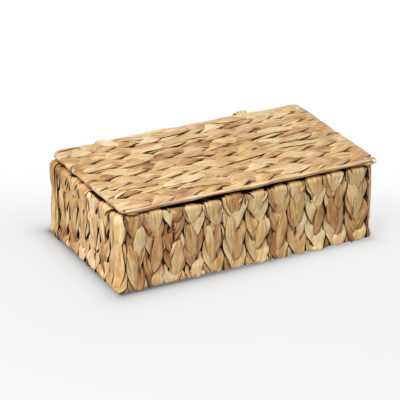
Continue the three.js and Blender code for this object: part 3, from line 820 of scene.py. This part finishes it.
def wall_place(side, reach, middle, width, height, corner, bulge, foot_bulge, sag):
    """Places wall points given across, deep and up. Past the start of a round corner, the width is carried
    on round a quarter circle about the corner's axis, so that the braid wraps the corner. Towards a braid's
    long edges the rim sags and the foot rises, by the square of the share of the half width; the foot
    bulges out and is lifted off the floor. What reaches past the corner is squeezed together, and sags a
    little at the rim.
    """
    turn = WALL_TURNS[side]
    cos, sin = math.cos(turn), math.sin(turn)

    def place(across, depth, up):
        edge = np.clip(2 * across / width, -1, 1) ** 2
        foot = 1 - smooth(0, FOOT_BAND, up)
        up = FOOT_LIFT + up * (1 - FOOT_LIFT / height)
        up = up - sag * edge * smooth(height - RIM_BAND, height, up) + FOOT_RISE * edge * foot
        outer = np.clip(1 - depth / WALL_FOLD, 0, 1)
        depth = depth - bulge - foot_bulge * foot * outer
        lateral = middle + across
        deep = depth
        if corner:
            flat_end, layer = corner
            past = np.abs(lateral) - flat_end
            past = past - (1 - CORNER_SQUEEZE_SHARE) * np.clip(past - CORNER_REACH, 0, None)
            bend = np.clip(past / layer, 0, None)
            up = up - CORNER_SAG * smooth(0, CORNER_REACH, past) * smooth(height - CORNER_BAND, height, up)
            radius = np.maximum(CORNER_RADIUS - depth, CORNER_LEAST_RADIUS)
            bent = np.sign(lateral) * (flat_end + radius * np.sin(bend))
            deep = np.where(bend > 0, CORNER_RADIUS - radius * np.cos(bend), depth)
            lateral = np.where(bend > 0, bent, lateral)
        y = deep - reach
        up = np.maximum(up, FLOOR_CLEARANCE)
        return np.stack([lateral * cos - y * sin, lateral * sin + y * cos, up], axis=-1)

    return place


def wall_span(side, name):
    """Middle and width of a wall node across its wall, its height, and how far the wall's face is from the
    centre.
    """
    low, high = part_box(name)
    spans = {
        "front": (low.x, high.x, -low.y),
        "back": (-high.x, -low.x, high.y),
        "left": (-high.y, -low.y, -low.x),
        "right": (low.y, high.y, high.x),
    }
    start, stop, reach = spans[side]
    return (start + stop) / 2, stop - start, high.z, reach


def drawn_leaves(rng, skin, wave, up, count, spread):
    """Leaves at random places along a braid, each from near its middle to near an edge: outward and upward
    where up is 1, and outward against the way of the skin where it is -1.
    """
    leaves = []
    for _ in range(count):
        side = rng.choice((-1, 1))
        length = wave * rng.uniform(0.45, 0.6)
        start = rng.uniform(skin.face_start, skin.face_end - length)
        inner, outer = side * rng.uniform(-2, 2) * MM, side * rng.uniform(6, 8.5) * MM
        ends = (inner, outer)[:: 1 if up > 0 else -1]
        bow, wide = side * rng.uniform(0, 1.5) * MM, rng.uniform(6, 8.4) * MM
        tone, red = rng.normal(0.02, spread), 0.8 * float(smooth(0.6, 1, rng.uniform(0, 1)))
        leaves.append(Leaf(start, start + length, *ends, bow, wide, rng.uniform(0.7, 1), LEAF_LIFT, tone, red))
    return leaves


def rim_leaf(rng, rim):
    """A broad leaf folded over the rim, with a pointed tip on the face and another inside."""
    reach, lean = rng.uniform(24, 36) * MM, rng.uniform(-4, 4) * MM
    wide = rng.uniform(10.5, 13.5) * MM
    return Leaf(rim - reach, rim + reach, lean, -lean, 0, wide, 0.85, RIM_LEAF_LIFT, rng.normal(0.03, 0.06), 0)


def corner_leaves(rng, skin, wall, flat_end, side, rim):
    """Upright leaves over the round corner at one side of a wall."""
    leaves = []
    run = rim - skin.face_start
    for offset, wide, first, last, lift in CORNER_LEAVES[wall, side]:
        ends = side * (flat_end + offset + rng.uniform(-1.5, 1.5, 2) * MM)
        start = skin.face_start - CORNER_LEAF_LEAD + first * run
        stop = skin.face_start + last * run
        tone, red = rng.normal(0.02, 0.06), 0.5 * float(smooth(0.6, 1, rng.uniform(0, 1)))
        leaves.append(Leaf(start, stop, *ends, rng.uniform(-1.5, 1.5) * MM, wide, 0.55, lift, tone, red))
    return leaves


class WOVENBOX_OT_wall(bpy.types.Operator):
    """Plaits the upright braids of one wall, each folded over the rim wire and under the base wire"""

    bl_idname = "woven_box.wall"
    bl_label = "Wall Braids"
    side: StringProperty(name="Side", description="front, back, left or right", default="front")

    def execute(self, context):
        settings = context.scene.woven_box_plaits
        material = wall_fibre(context.scene.woven_box_colours)
        names = nodes_named(self.side + "_wall_braid_")
        if not names:
            raise RuntimeError("the frame has no wall braids on side " + self.side)
        length_side = self.side in ("front", "back")
        parts, inner = [], []
        for i, name in enumerate(names):
            middle, width, height, reach = wall_span(self.side, name)
            gap = RIM_GAPS[self.side] + (FRONT_RIM_DROPS[i] if self.side == "front" else 0)
            height = LID_UNDERSIDE - gap - (LID_UNDERSIDE - height) * RIM_DROP_SHARE
            skin = folded_skin(height, WALL_FOLD + settings.bulge, FOOT_TAIL, RIM_TAIL)
            rng = np.random.default_rng(settings.seed * 7 + list(WALL_TURNS).index(self.side) * 20 + i)
            rim = skin.face_end + WALL_FOLD / 2 * math.pi / 2
            start = rim + settings.wall_wave * (0.055 + 0.03 * settings.unevenness * rng.uniform(-1, 1))
            wave = settings.wall_wave * (1 + 0.08 * settings.unevenness * rng.uniform(-1, 1))
            shares = settings.wall_share, settings.wall_tilt
            plait = Plait(*shares, wave, -1, start, *WALL_HALVES, edge_shade_from=WALL_EDGE_SHADE_FROM, slits=WALL_SLITS)
            at_corner = not length_side and i in (0, len(names) - 1)
            leaves = drawn_leaves(rng, skin, wave, 1, 0 if at_corner else rng.integers(1, 3), 0.09)
            if rng.uniform() < 0.85 and not at_corner:
                leaves.append(rim_leaf(rng, rim))
            corner = None
            if at_corner:
                half_side = abs(middle) + width / 2 + CORNER_SEAM
                corner = (half_side - CORNER_RADIUS, CORNER_RADIUS - plait.face_half)
                end, way = corner[0] - abs(middle), 1 if middle > 0 else -1
                leaves.extend(corner_leaves(rng, skin, self.side, end, way, rim))
            flared = self.side == "front" and i == 0 or self.side == "left" and i == len(names) - 1
            foot_bulge = FOOT_BULGES[1] if flared else FOOT_BULGES[0] * rng.uniform(0.6, 1.4)
            bends = settings.bulge, foot_bulge, gap * RIM_SAG_SHARE
            place = wall_place(self.side, reach, middle, width, height, corner, *bends)
            index = 100 * (1 + list(WALL_TURNS).index(self.side)) + i
            parts.append(leaf_rings(rng, skin, leaves, place, 10 * index))
            wraps = [at_corner and way * middle > 0 for way in (-1, 1)]
            margins = [INNER_MARGIN if wrap else WALL_INNER_MARGIN for wrap in wraps]
            left, right = -width / 2 - margins[0], width / 2 + margins[1]
            inner.append(shade_leaf(skin, plait, place, left, right, index))
            width = width + BRAID_GAP
            mesh = plaited_mesh(name + "_plait", index, skin, plait, width, place, settings, WALL_TONE_SPREAD)
            add_piece(name + "_plait", mesh, material, BODY, "wall_fibre", name)
        for name, leaves in ((self.side + "_wall_leaves", parts), (self.side + "_wall_shade_leaves", inner)):
            add_piece(name, leaves_mesh(name, leaves), material, BODY, "wall_fibre")
        return {"FINISHED"}


def flat_place(start, middle, top):
    """Places points of a braid that lies flat along +X with its face up: across is -Y and depth is down."""

    def place(across, depth, along):
        up = np.maximum(top - depth, FLOOR_CLEARANCE)
        return np.stack([start + along, middle - across, up], axis=-1)

    return place


class WOVENBOX_OT_base(bpy.types.Operator):
    """Plaits the lengthwise braids of the base"""

    bl_idname = "woven_box.base"
    bl_label = "Base Braids"

    def execute(self, context):
        settings = context.scene.woven_box_plaits
        material = base_fibre(context.scene.woven_box_colours)
        inner = []
        for i, name in enumerate(nodes_named("base_braid_")):
            low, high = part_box(name)
            skin = flat_skin(high.x - low.x)
            start = settings.base_wave * 0.37 * i
            half = (high.z - low.z) / 2 - BASE_INSET
            shares = settings.lid_share, settings.lid_tilt
            plait = Plait(*shares, settings.base_wave, 1, start, half, half, half)
            place = flat_place(low.x, (low.y + high.y) / 2, high.z - BASE_DROP)
            width = high.y - low.y + BRAID_GAP
            mesh = plaited_mesh(name + "_plait", 600 + i, skin, plait, width, place, settings)
            add_piece(name + "_plait", mesh, material, BODY, "base_fibre", name)
            inner.append(shade_leaf(skin, plait, place, -width / 2, width / 2, 600 + i))
        add_piece("base_shade_leaves", leaves_mesh("base_shade_leaves", inner), material, BODY, "base_fibre")
        return {"FINISHED"}


def lid_place(left, right, half_depth, middle, top, thick):
    """Places points of a lid braid. The top sinks by bevel * t^2 over the last run before each long edge,
    and each end draws in round the lid's corners, by r - sqrt(r^2 - d^2) at d into a corner of radius r.
    """

    def place(across, depth, along):
        x, y, z = left + along, middle - across, top - depth
        t = np.clip((np.abs(y) - half_depth + LID_BEVEL_RUN) / LID_BEVEL_RUN, 0, 1.1)
        z = z - LID_BEVEL * t**2 * np.clip(1 - depth / thick, 0, 1)
        for (end, edge), radius in LID_CORNERS.items():
            into = np.clip(edge * y - half_depth + radius, 0, 0.97 * radius)
            gone = (right - x) if end > 0 else (x - left)
            drawn = (radius - np.sqrt(radius**2 - into**2)) * (1 - smooth(0, LID_DRAW_RUN, gone))
            cut = LID_UNDERCUT / 2 * np.clip(depth / thick, 0, 1) ** 2 * (1 - smooth(0, LID_CUT_RUN, gone))
            x = x - end * (drawn + cut)
        return np.stack([x, y, z], axis=-1)

    return place


def marked_leaves(skin, name):
    """The leaves of a lid braid that stand out by their colour or place."""
    leaves = []
    for *sizes, point, lift, tone, red in MARKED_LEAVES.get(name, ()):
        start, stop, first, last, wide = (size * MM for size in sizes)
        ends = skin.face_start + start, skin.face_start + stop, first, last
        leaves.append(Leaf(*ends, 0, wide, point, lift * MM, tone, red))
    return leaves


class WOVENBOX_OT_lid(bpy.types.Operator):
    """Plaits the lengthwise braids of the lid, folded round its wire at both ends"""

    bl_idname = "woven_box.lid"
    bl_label = "Lid Braids"

    def execute(self, context):
        settings = context.scene.woven_box_plaits
        material = lid_fibre(context.scene.woven_box_colours)
        names = nodes_named("lid_braid_")
        half_depth = max(abs(corner.y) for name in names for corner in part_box(name)) + LID_LIP
        parts, inner = [], []
        for i, name in enumerate(names):
            low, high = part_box(name)
            rng = np.random.default_rng(settings.seed * 13 + i)
            thick = high.z - low.z + 0.4 * settings.bulge
            skin = folded_skin(high.x - low.x, thick, LID_TAIL, LID_TAIL)
            wave = settings.lid_wave * (1 + 0.1 * settings.unevenness * rng.uniform(-1, 1))
            start = settings.lid_wave * (0.31 * i + 0.2 * settings.unevenness * rng.uniform(-1, 1))
            shares = settings.lid_share, settings.lid_tilt
            edges = {"edge_shade_from": LID_EDGE_SHADE_FROM, "least_shade": LID_LEAST_SHADE}
            darks = {"dark_from": 0.6 * thick, "dark_to": 0.9 * thick}
            plait = Plait(*shares, wave, 1, start, *LID_HALVES, **edges, **darks)
            lip = {0: -LID_LIP, len(names) - 1: LID_LIP}.get(i, 0)
            middle = (low.y + high.y + lip) / 2
            place = lid_place(low.x, high.x, half_depth, middle, high.z + settings.bulge, thick)
            width = high.y - low.y + abs(lip) + BRAID_GAP
            spread = LID_TONE_SPREAD
            mesh = plaited_mesh(name + "_plait", 700 + i, skin, plait, width, place, settings, spread)
            add_piece(name + "_plait", mesh, material, LID, "lid_fibre", name)
            leaves = drawn_leaves(rng, skin, wave, -1, 3, 0.08) + marked_leaves(skin, name)
            parts.append(leaf_rings(rng, skin, leaves, place, 7000 + 10 * i))
            left, right = -width / 2 - INNER_MARGIN, width / 2 + INNER_MARGIN
            left, right = (left + LIP_INSET * (lip > 0), right - LIP_INSET * (lip < 0))
            inner.append(shade_leaf(skin, plait, place, left, right, 700 + i, LID_INNER_SHADE))
        for name, leaves in (("lid_leaves", parts), ("lid_shade_leaves", inner)):
            add_piece(name, leaves_mesh(name, leaves), material, LID, "lid_fibre")
        return {"FINISHED"}


def stem_mesh(name, rng, path, out, wide, high, number, red=0.0, spread=0.12, sides=20, power=0.75, lift=0.0):
    """Mesh of stems carried along paths[stem, ring, 3]: at every ring a superellipse, wide across and high
    along the out direction, square to the path.
    """
    heading = np.gradient(path, axis=1)
    heading = heading / np.linalg.norm(heading, axis=-1, keepdims=True)
    out = out - heading * np.sum(out * heading, axis=-1, keepdims=True)
    out = out / np.linalg.norm(out, axis=-1, keepdims=True)
    across = np.cross(heading, out)
    share, crown = section(sides, power, power)
    p = wide[..., None] * share
    q = high[..., None] * crown
    rings = path[:, :, None] + p[..., None] * across[:, :, None] + q[..., None] * out[:, :, None]
    steps = np.linalg.norm(np.diff(path, axis=1), axis=-1)
    s = np.concatenate([np.zeros((len(path), 1)), np.cumsum(steps, axis=1)], axis=1)
    tone = lift + rng.normal(0, spread, (len(path), 1)) + wander(rng, s[0], TONE_RUN, 1.2 * spread, len(path))
    around = np.where(np.abs(share) > 0.8, q, p)
    along = np.broadcast_to(s[..., None], p.shape)
    numbers = np.broadcast_to(number + np.arange(len(path))[:, None, None] * 1.0, p.shape)
    red = np.broadcast_to(np.asarray(red)[..., None] if np.ndim(red) else red, p.shape)
    # Painted shade at the stem's edges
    shade = np.broadcast_to(0.5 * smooth(0.85, 1.0, np.abs(share)), p.shape)
    tones = np.broadcast_to(tone[..., None], p.shape)
    fibre = np.stack([around, along, numbers], axis=-1)
    return tube_mesh(name, rings, {"fibre": fibre, "tone": np.stack([tones, red, shade], axis=-1)})


def rounded_ends(end, length):
    """Share of a stem's full size at a distance from its end: the quarter circle sqrt(1 - (1 - t)^2) of a
    round end.
    """
    return np.sqrt(np.clip(1 - (1 - np.clip(end / length, 0, 1)) ** 2, 0.02, 1))


class WOVENBOX_OT_edge_strands(bpy.types.Operator):
    """Lays the long strands along the lid's front and back edges, and the small curl at the front one's
    right end
    """

    bl_idname = "woven_box.edge_strands"
    bl_label = "Lid Edge Strands"

    def execute(self, context):
        settings = context.scene.woven_box_plaits
        material = edge_fibre(context.scene.woven_box_colours)
        braids = [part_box(name) for name in nodes_named("lid_braid_")]
        left = min(low.x for low, _ in braids)
        right = max(high.x for _, high in braids)
        for k, (name, side) in enumerate((("lid_front_edge_strand", -1), ("lid_back_edge_strand", 1))):
            low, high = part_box(name)
            rng = np.random.default_rng(settings.seed + 900 + k)
            outer = low.y if side < 0 else high.y
            first = EDGE_STARTS[k]
            s = np.linspace(0, right - left - first - EDGE_END, 260)
            x = left + first + s
            near, far = LID_CORNERS[-1, side], LID_CORNERS[1, side]
            past = s - s[-1] + far - EDGE_CORNER_ROOM
            into = np.clip(near - first - s, 0, 0.97 * near), np.clip(past, 0, 0.97 * far)
            inward = near - np.sqrt(near**2 - into[0] ** 2) + far - np.sqrt(far**2 - into[1] ** 2)
            inward = inward + EDGE_HALF_WIDTH + EDGE_INSET
            y = outer - side * inward + wander(rng, s, STRAY_RUN, EDGE_STRAY, 1)[0]
            middle = EDGE_MIDDLES[k] + wander(rng, s, SWAY_RUN, EDGE_LIFT_STRAY, 1)[0]
            path = np.stack([x, y, low.z + middle], axis=-1)[None]
            up = np.broadcast_to(np.array([0.0, 0.0, 1.0]), path.shape)
            close = rounded_ends(np.minimum(s, s[-1] - s), EDGE_END)[None]
            wide = EDGE_HALF_WIDTH * close * (1 + wander(rng, s, EDGE_WIDTH_RUN, 0.16, 1))
            tall = EDGE_HALF_HEIGHTS[k] * close * (1 + wander(rng, s, EDGE_HEIGHT_RUN, 0.22, 1))
            tuck = EDGE_TUCK * (1 - smooth(0, EDGE_TUCK_RUN, s))
            path = path + tuck[:, None] * np.array([0, -0.4 * side, -0.05])
            red = 1 - smooth(*EDGE_REDS, s)[None]
            if side < 0:
                red = smooth(0.3, 0.8, wander(rng, s, EDGE_RED_RUN, 1, 1))
            mesh = stem_mesh(name + "_stem", rng, path, up, wide, tall, 300 + k, red, 0.14, 28)
            add_piece(name + "_stem", mesh, material, LID, "edge_fibre", name)
        low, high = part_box("lid_front_edge_strand")
        rng = np.random.default_rng(settings.seed + 930)
        turn = np.linspace(-math.pi / 2, math.pi / 2, 20)
        lead = np.linspace(-CURL_LEAD, 0, 14)[:-1]
        x = np.concatenate([lead, CURL_RADIUS * np.cos(turn), lead[::-1]])
        y = np.concatenate([0 * lead - CURL_RADIUS, CURL_RADIUS * np.sin(turn), 0 * lead + CURL_RADIUS])
        tip = high.x - CURL_CORD - CURL_RADIUS - CURL_INSET
        z = (low.z + high.z) / 2 + 1.1 * y
        path = np.stack([tip + x, low.y + EDGE_HALF_WIDTH + CURL_CLEARANCE + y, z], axis=-1)[None]
        up = np.broadcast_to(np.array([0.0, 0.0, 1.0]), path.shape)
        size = np.full(path.shape[:2], CURL_CORD)
        mesh = stem_mesh("lid_corner_curl", rng, path, up, size, 0.8 * size, 310, 0.0, 0.05, 14, 1.0, 0.15)
        add_piece("lid_corner_curl", mesh, material, LID, "edge_fibre")
        return {"FINISHED"}


class WOVENBOX_OT_lashings(bpy.types.Operator):
    """Winds the two-ply cords round the back rim and the lid's back edge"""

    bl_idname = "woven_box.lashings"
    bl_label = "Hinge Lashings"

    def execute(self, context):
        settings = context.scene.woven_box_plaits
        colours = context.scene.woven_box_colours
        material = found_material("lashing_stems", lambda label: fibre_material(label, colours, lift=0.1))
        pivot = Vector(frame["joints"][0]["pos_m"])
        for k, name in enumerate(nodes_named("hinge_lashing_")):
            low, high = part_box(name)
            centre = np.array([(low.x + high.x) / 2, pivot.y, pivot.z])
            rng = np.random.default_rng(settings.seed + 950 + k)
            first = math.pi + LASHING_TUCK
            last = math.pi + 2 * math.pi * LASHING_TURNS
            climb = LASHING_PITCHES[k] / (2 * math.pi)
            angle = np.linspace(first, last, 420)
            run = (angle - (first + last) / 2) * climb + LASHING_SHIFTS[k]
            radius = LASHING_RADII[k] + wander(rng, angle, 2.2, LASHING_STRAY, 1)[0]
            path = np.stack([run, radius * np.cos(angle), radius * np.sin(angle)], axis=-1)
            out = np.stack([0 * angle, np.cos(angle), np.sin(angle)], axis=-1)
            side = np.array([1.0, 0.0, 0.0])
            s = (angle - first) * math.hypot(LASHING_RADII[k], climb)
            spin = 2 * math.pi * s / PLY_TWIST + np.array([[0], [math.pi]])
            offset = PLY_OFFSET * (np.cos(spin)[..., None] * side + np.sin(spin)[..., None] * out)
            path = path + offset + centre
            out = np.broadcast_to(out, path.shape)
            close = rounded_ends(np.minimum(s, s[-1] - s), PLY_TAPER)
            size = PLY_RADIUS * close * (1 + wander(rng, s, PLY_WIDTH_RUN, 0.12, 2))
            mesh = stem_mesh(name + "_cord", rng, path, out, size, size, 400 + 2 * k, 0.0, 0.1, 10, 1.0, 0.2)
            add_piece(name + "_cord", mesh, material, BODY, "lashing_fibre", name)
        return {"FINISHED"}


def wire_material(name, colours):
    """Dark lacquered wire, a little uneven in its gloss."""
    material = bpy.data.materials.new(name)
    material.use_nodes = True
    tree = material.node_tree
    shader = tree.nodes["Principled BSDF"]
    place = node(tree, "ShaderNodeTexCoord").outputs["Object"]
    noise = node(tree, "ShaderNodeTexNoise", {"Vector": place, "Scale": 220.0, "Detail": 3.0}).outputs["Fac"]
    colour = mixed(tree, noise, tuple(colours.wire), tuple(c * 0.5 for c in colours.wire))
    tree.links.new(colour, shader.inputs["Base Color"])
    tree.links.new(math_node(tree, "MULTIPLY_ADD", noise, 0.3, 0.3), shader.inputs["Roughness"])
    bump = node(tree, "ShaderNodeBump", {"Height": noise, "Strength": 0.2, "Distance": 0.0003})
    tree.links.new(bump.outputs["Normal"], shader.inputs["Normal"])
    shader.inputs["Metallic"].default_value = 0.6
    return material


class WOVENBOX_OT_wire_frames(bpy.types.Operator):
    """Finishes the two hidden wire frames, which stay as they are packed"""

    bl_idname = "woven_box.wire_frames"
    bl_label = "Wire Frames"

    def execute(self, context):
        colours = context.scene.woven_box_colours
        material = found_material("frame_lacquer", lambda name: wire_material(name, colours))
        for name in ("body_wire_frame", "lid_wire_frame"):
            wire = frame["nodes"][name]
            wire.data.materials.clear()
            wire.data.materials.append(material)
        return {"FINISHED"}


def area_lamp(name, power, size, place, target):
    """Round lamp at a place, turned to a target."""
    data = bpy.data.lights.new(name, "AREA")
    data.energy = power
    data.shape = "DISK"
    data.size = size
    lamp = bpy.data.objects.new(name, data)
    lamp.location = place
    lamp.rotation_euler = (Vector(target) - Vector(place)).to_track_quat("-Z", "Y").to_euler()
    bpy.context.scene.collection.objects.link(lamp)


def sweep_mesh(name, flat_radius, bend_radius, rings=40, sides=96):
    """Floor that turns up into a round backdrop: a profile of a level run and a quarter circle, turned
    about +Z.
    """
    level = np.linspace(0.02, 1, 12) * flat_radius
    turn = np.linspace(0, math.pi / 2, rings)[1:]
    reach = np.concatenate([level, flat_radius + bend_radius * np.sin(turn)])
    rise = np.concatenate([0 * level, bend_radius - bend_radius * np.cos(turn)])
    angle = 2 * math.pi * np.arange(sides) / sides
    circle = np.stack([np.cos(angle), np.sin(angle), 0 * angle], axis=-1)
    points = reach[:, None, None] * circle + rise[:, None, None] * np.array([0.0, 0.0, 1.0])
    grid = np.arange(len(reach) * sides).reshape(len(reach), sides)
    after = np.roll(grid, -1, axis=1)
    quads = np.stack([grid[:-1], grid[1:], after[1:], after[:-1]], axis=-1).reshape(-1, 4)
    mesh = bpy.data.meshes.new(name)
    mesh.from_pydata(points.reshape(-1, 3).tolist(), [], quads.tolist() + [grid[0].tolist()])
    mesh.shade_smooth()
    return mesh


def seen_share(tree):
    """1 for the camera's rays and for what gloss and glass show of the stage, and 0 for the light that it
    gives.
    """
    path = node(tree, "ShaderNodeLightPath").outputs
    seen = math_node(tree, "MAXIMUM", path["Is Camera Ray"], path["Is Glossy Ray"])
    return math_node(tree, "MAXIMUM", seen, path["Is Transmission Ray"])


def stage_material(name, settings, half_x, half_y):
    """Pale matt paper. The camera sees it partly as lit, with the shadow, and partly as its own white,
    which takes over behind the box. A painted shadow darkens it towards the box by contact *
    exp(-distance / reach), and more so on the left.
    """
    paper = settings.paper
    material = bpy.data.materials.new(name)
    material.use_nodes = True
    tree = material.node_tree
    shader = tree.nodes["Principled BSDF"]
    shader.inputs["Roughness"].default_value = 0.9
    shader.inputs["Specular IOR Level"].default_value = 0.1
    place = node(tree, "ShaderNodeTexCoord").outputs["Object"]
    behind = node(tree, "ShaderNodeVectorMath", {0: place, 1: BEHIND}, operation="DOT_PRODUCT")
    far = ranged(tree, behind.outputs["Value"], *BEHIND_RANGE)
    glow = node(tree, "ShaderNodeEmission", {"Color": (1, 1, 1, 1), "Strength": 1.0})
    seen = seen_share(tree)
    parts = node(tree, "ShaderNodeSeparateXYZ", {0: place}).outputs
    gone = []
    for k, half in ((0, half_x), (1, half_y)):
        past = math_node(tree, "SUBTRACT", math_node(tree, "ABSOLUTE", parts[k]), half)
        gone.append(math_node(tree, "MAXIMUM", past, 0.0))
    gone = node(tree, "ShaderNodeCombineXYZ", {0: gone[0], 1: gone[1]}).outputs[0]
    gone = node(tree, "ShaderNodeVectorMath", {0: gone}, operation="LENGTH").outputs["Value"]
    # Painted contact shadow: the floor's lit colour and its own white dim towards the box
    painted_shadow = None
    lean = ranged(tree, parts[0], *CONTACT_RANGE)
    lean = math_node(tree, "MULTIPLY_ADD", lean, CONTACT_RIGHT - CONTACT_LEFT, CONTACT_LEFT)
    for reach, part in CONTACT_TERMS:
        fall = math_node(tree, "EXPONENT", math_node(tree, "MULTIPLY", gone, -1 / reach))
        fall = math_node(tree, "MULTIPLY", fall, lean)
        dim = math_node(tree, "MULTIPLY_ADD", fall, -part * settings.painted_contact_shadow, 1.0)
        painted_shadow = dim if painted_shadow is None else math_node(tree, "MULTIPLY", painted_shadow, dim)
    painted_shadow = math_node(tree, "MULTIPLY_ADD", math_node(tree, "SUBTRACT", painted_shadow, 1.0), seen, 1.0)
    colour = mixed(tree, seen, tuple(settings.floor), tuple(settings.seen_floor))
    colour = mixed(tree, 1.0, colour, painted_shadow, "MULTIPLY")
    tree.links.new(colour, shader.inputs["Base Color"])
    tree.links.new(painted_shadow, glow.inputs["Strength"])
    share = math_node(tree, "MULTIPLY_ADD", far, 1.0 - paper, paper)
    share = math_node(tree, "MULTIPLY", seen, share)
    both = node(tree, "ShaderNodeMixShader", {0: share, 1: shader.outputs[0], 2: glow.outputs[0]})
    tree.links.new(both.outputs[0], tree.nodes["Material Output"].inputs["Surface"])
    return material


class WOVENBOX_OT_stage(bpy.types.Operator):
    """Sets out the pale floor and backdrop, the lamp, the light from all round and the camera"""

    bl_idname = "woven_box.stage"
    bl_label = "Stage"

    def execute(self, context):
        settings = context.scene.woven_box_stage
        floor = bpy.data.objects.new("stage_sweep", sweep_mesh("stage_sweep", FLOOR_RADIUS, BACKDROP_RADIUS))
        floor.data.materials.append(stage_material("stage_paper", settings, *FOOTPRINT))
        context.scene.collection.objects.link(floor)
        area_lamp("key_lamp", settings.key, KEY_SIZE, KEY_PLACE, (0, 0, 0.05))
        world = bpy.data.worlds.new("stage_sky")
        context.scene.world = world
        world.use_nodes = True
        tree = world.node_tree
        tree.nodes.clear()
        strength = math_node(tree, "MULTIPLY_ADD", seen_share(tree), 1.0 - settings.sky, settings.sky)
        light = node(tree, "ShaderNodeBackground", {"Color": (1, 1, 1, 1), "Strength": strength})
        output = node(tree, "ShaderNodeOutputWorld")
        tree.links.new(light.outputs[0], output.inputs["Surface"])
        data = bpy.data.cameras.new("camera")
        camera = bpy.data.objects.new("camera", data)
        context.scene.collection.objects.link(camera)
        az, el = settings.azimuth, settings.elevation
        back = Vector((math.sin(az) * math.cos(el), -math.cos(az) * math.cos(el), math.sin(el)))
        camera.location = Vector(settings.target) + back * settings.distance
        camera.rotation_euler = (-back).to_track_quat("-Z", "Y").to_euler()
        data.sensor_width = 36
        data.lens = settings.lens
        data.clip_start, data.clip_end = 0.1, 40
        context.scene.camera = camera
        context.scene.view_settings.view_transform = "Standard"
        return {"FINISHED"}


class WOVENBOX_PT_panel(bpy.types.Panel):
    """Lists the steps that make the box, and its settings"""

    bl_idname = "WOVENBOX_PT_panel"
    bl_label = "Woven Box"
    bl_space_type = "VIEW_3D"
    bl_region_type = "UI"
    bl_category = "Woven Box"

    def draw(self, context):
        layout = self.layout
        for operator in OPERATORS:
            layout.operator(operator.bl_idname)
        scene = context.scene
        for group in (scene.woven_box_plaits, scene.woven_box_colours, scene.woven_box_stage):
            for key in group.bl_rna.properties.keys():
                if key not in ("rna_type", "name"):
                    layout.prop(group, key)


OPERATORS = (
    WOVENBOX_OT_wall,
    WOVENBOX_OT_base,
    WOVENBOX_OT_lid,
    WOVENBOX_OT_edge_strands,
    WOVENBOX_OT_lashings,
    WOVENBOX_OT_wire_frames,
    WOVENBOX_OT_stage,
)
GROUPS = (WovenBoxPlaits, WovenBoxColours, WovenBoxStage)


def register():
    for cls in (*GROUPS, *OPERATORS, WOVENBOX_PT_panel):
        bpy.utils.register_class(cls)
    bpy.types.Scene.woven_box_plaits = PointerProperty(type=WovenBoxPlaits)
    bpy.types.Scene.woven_box_colours = PointerProperty(type=WovenBoxColours)
    bpy.types.Scene.woven_box_stage = PointerProperty(type=WovenBoxStage)


def unregister():
    del bpy.types.Scene.woven_box_stage
    del bpy.types.Scene.woven_box_colours
    del bpy.types.Scene.woven_box_plaits
    for cls in reversed((*GROUPS, *OPERATORS, WOVENBOX_PT_panel)):
        bpy.utils.unregister_class(cls)


def main():
    """Makes the whole box and its stage."""
    register()
    for side in WALL_TURNS:
        bpy.ops.woven_box.wall(side=side)
    bpy.ops.woven_box.base()
    bpy.ops.woven_box.lid()
    bpy.ops.woven_box.edge_strands()
    bpy.ops.woven_box.lashings()
    bpy.ops.woven_box.wire_frames()
    bpy.ops.woven_box.stage()


if __name__ == "__main__":
    main()
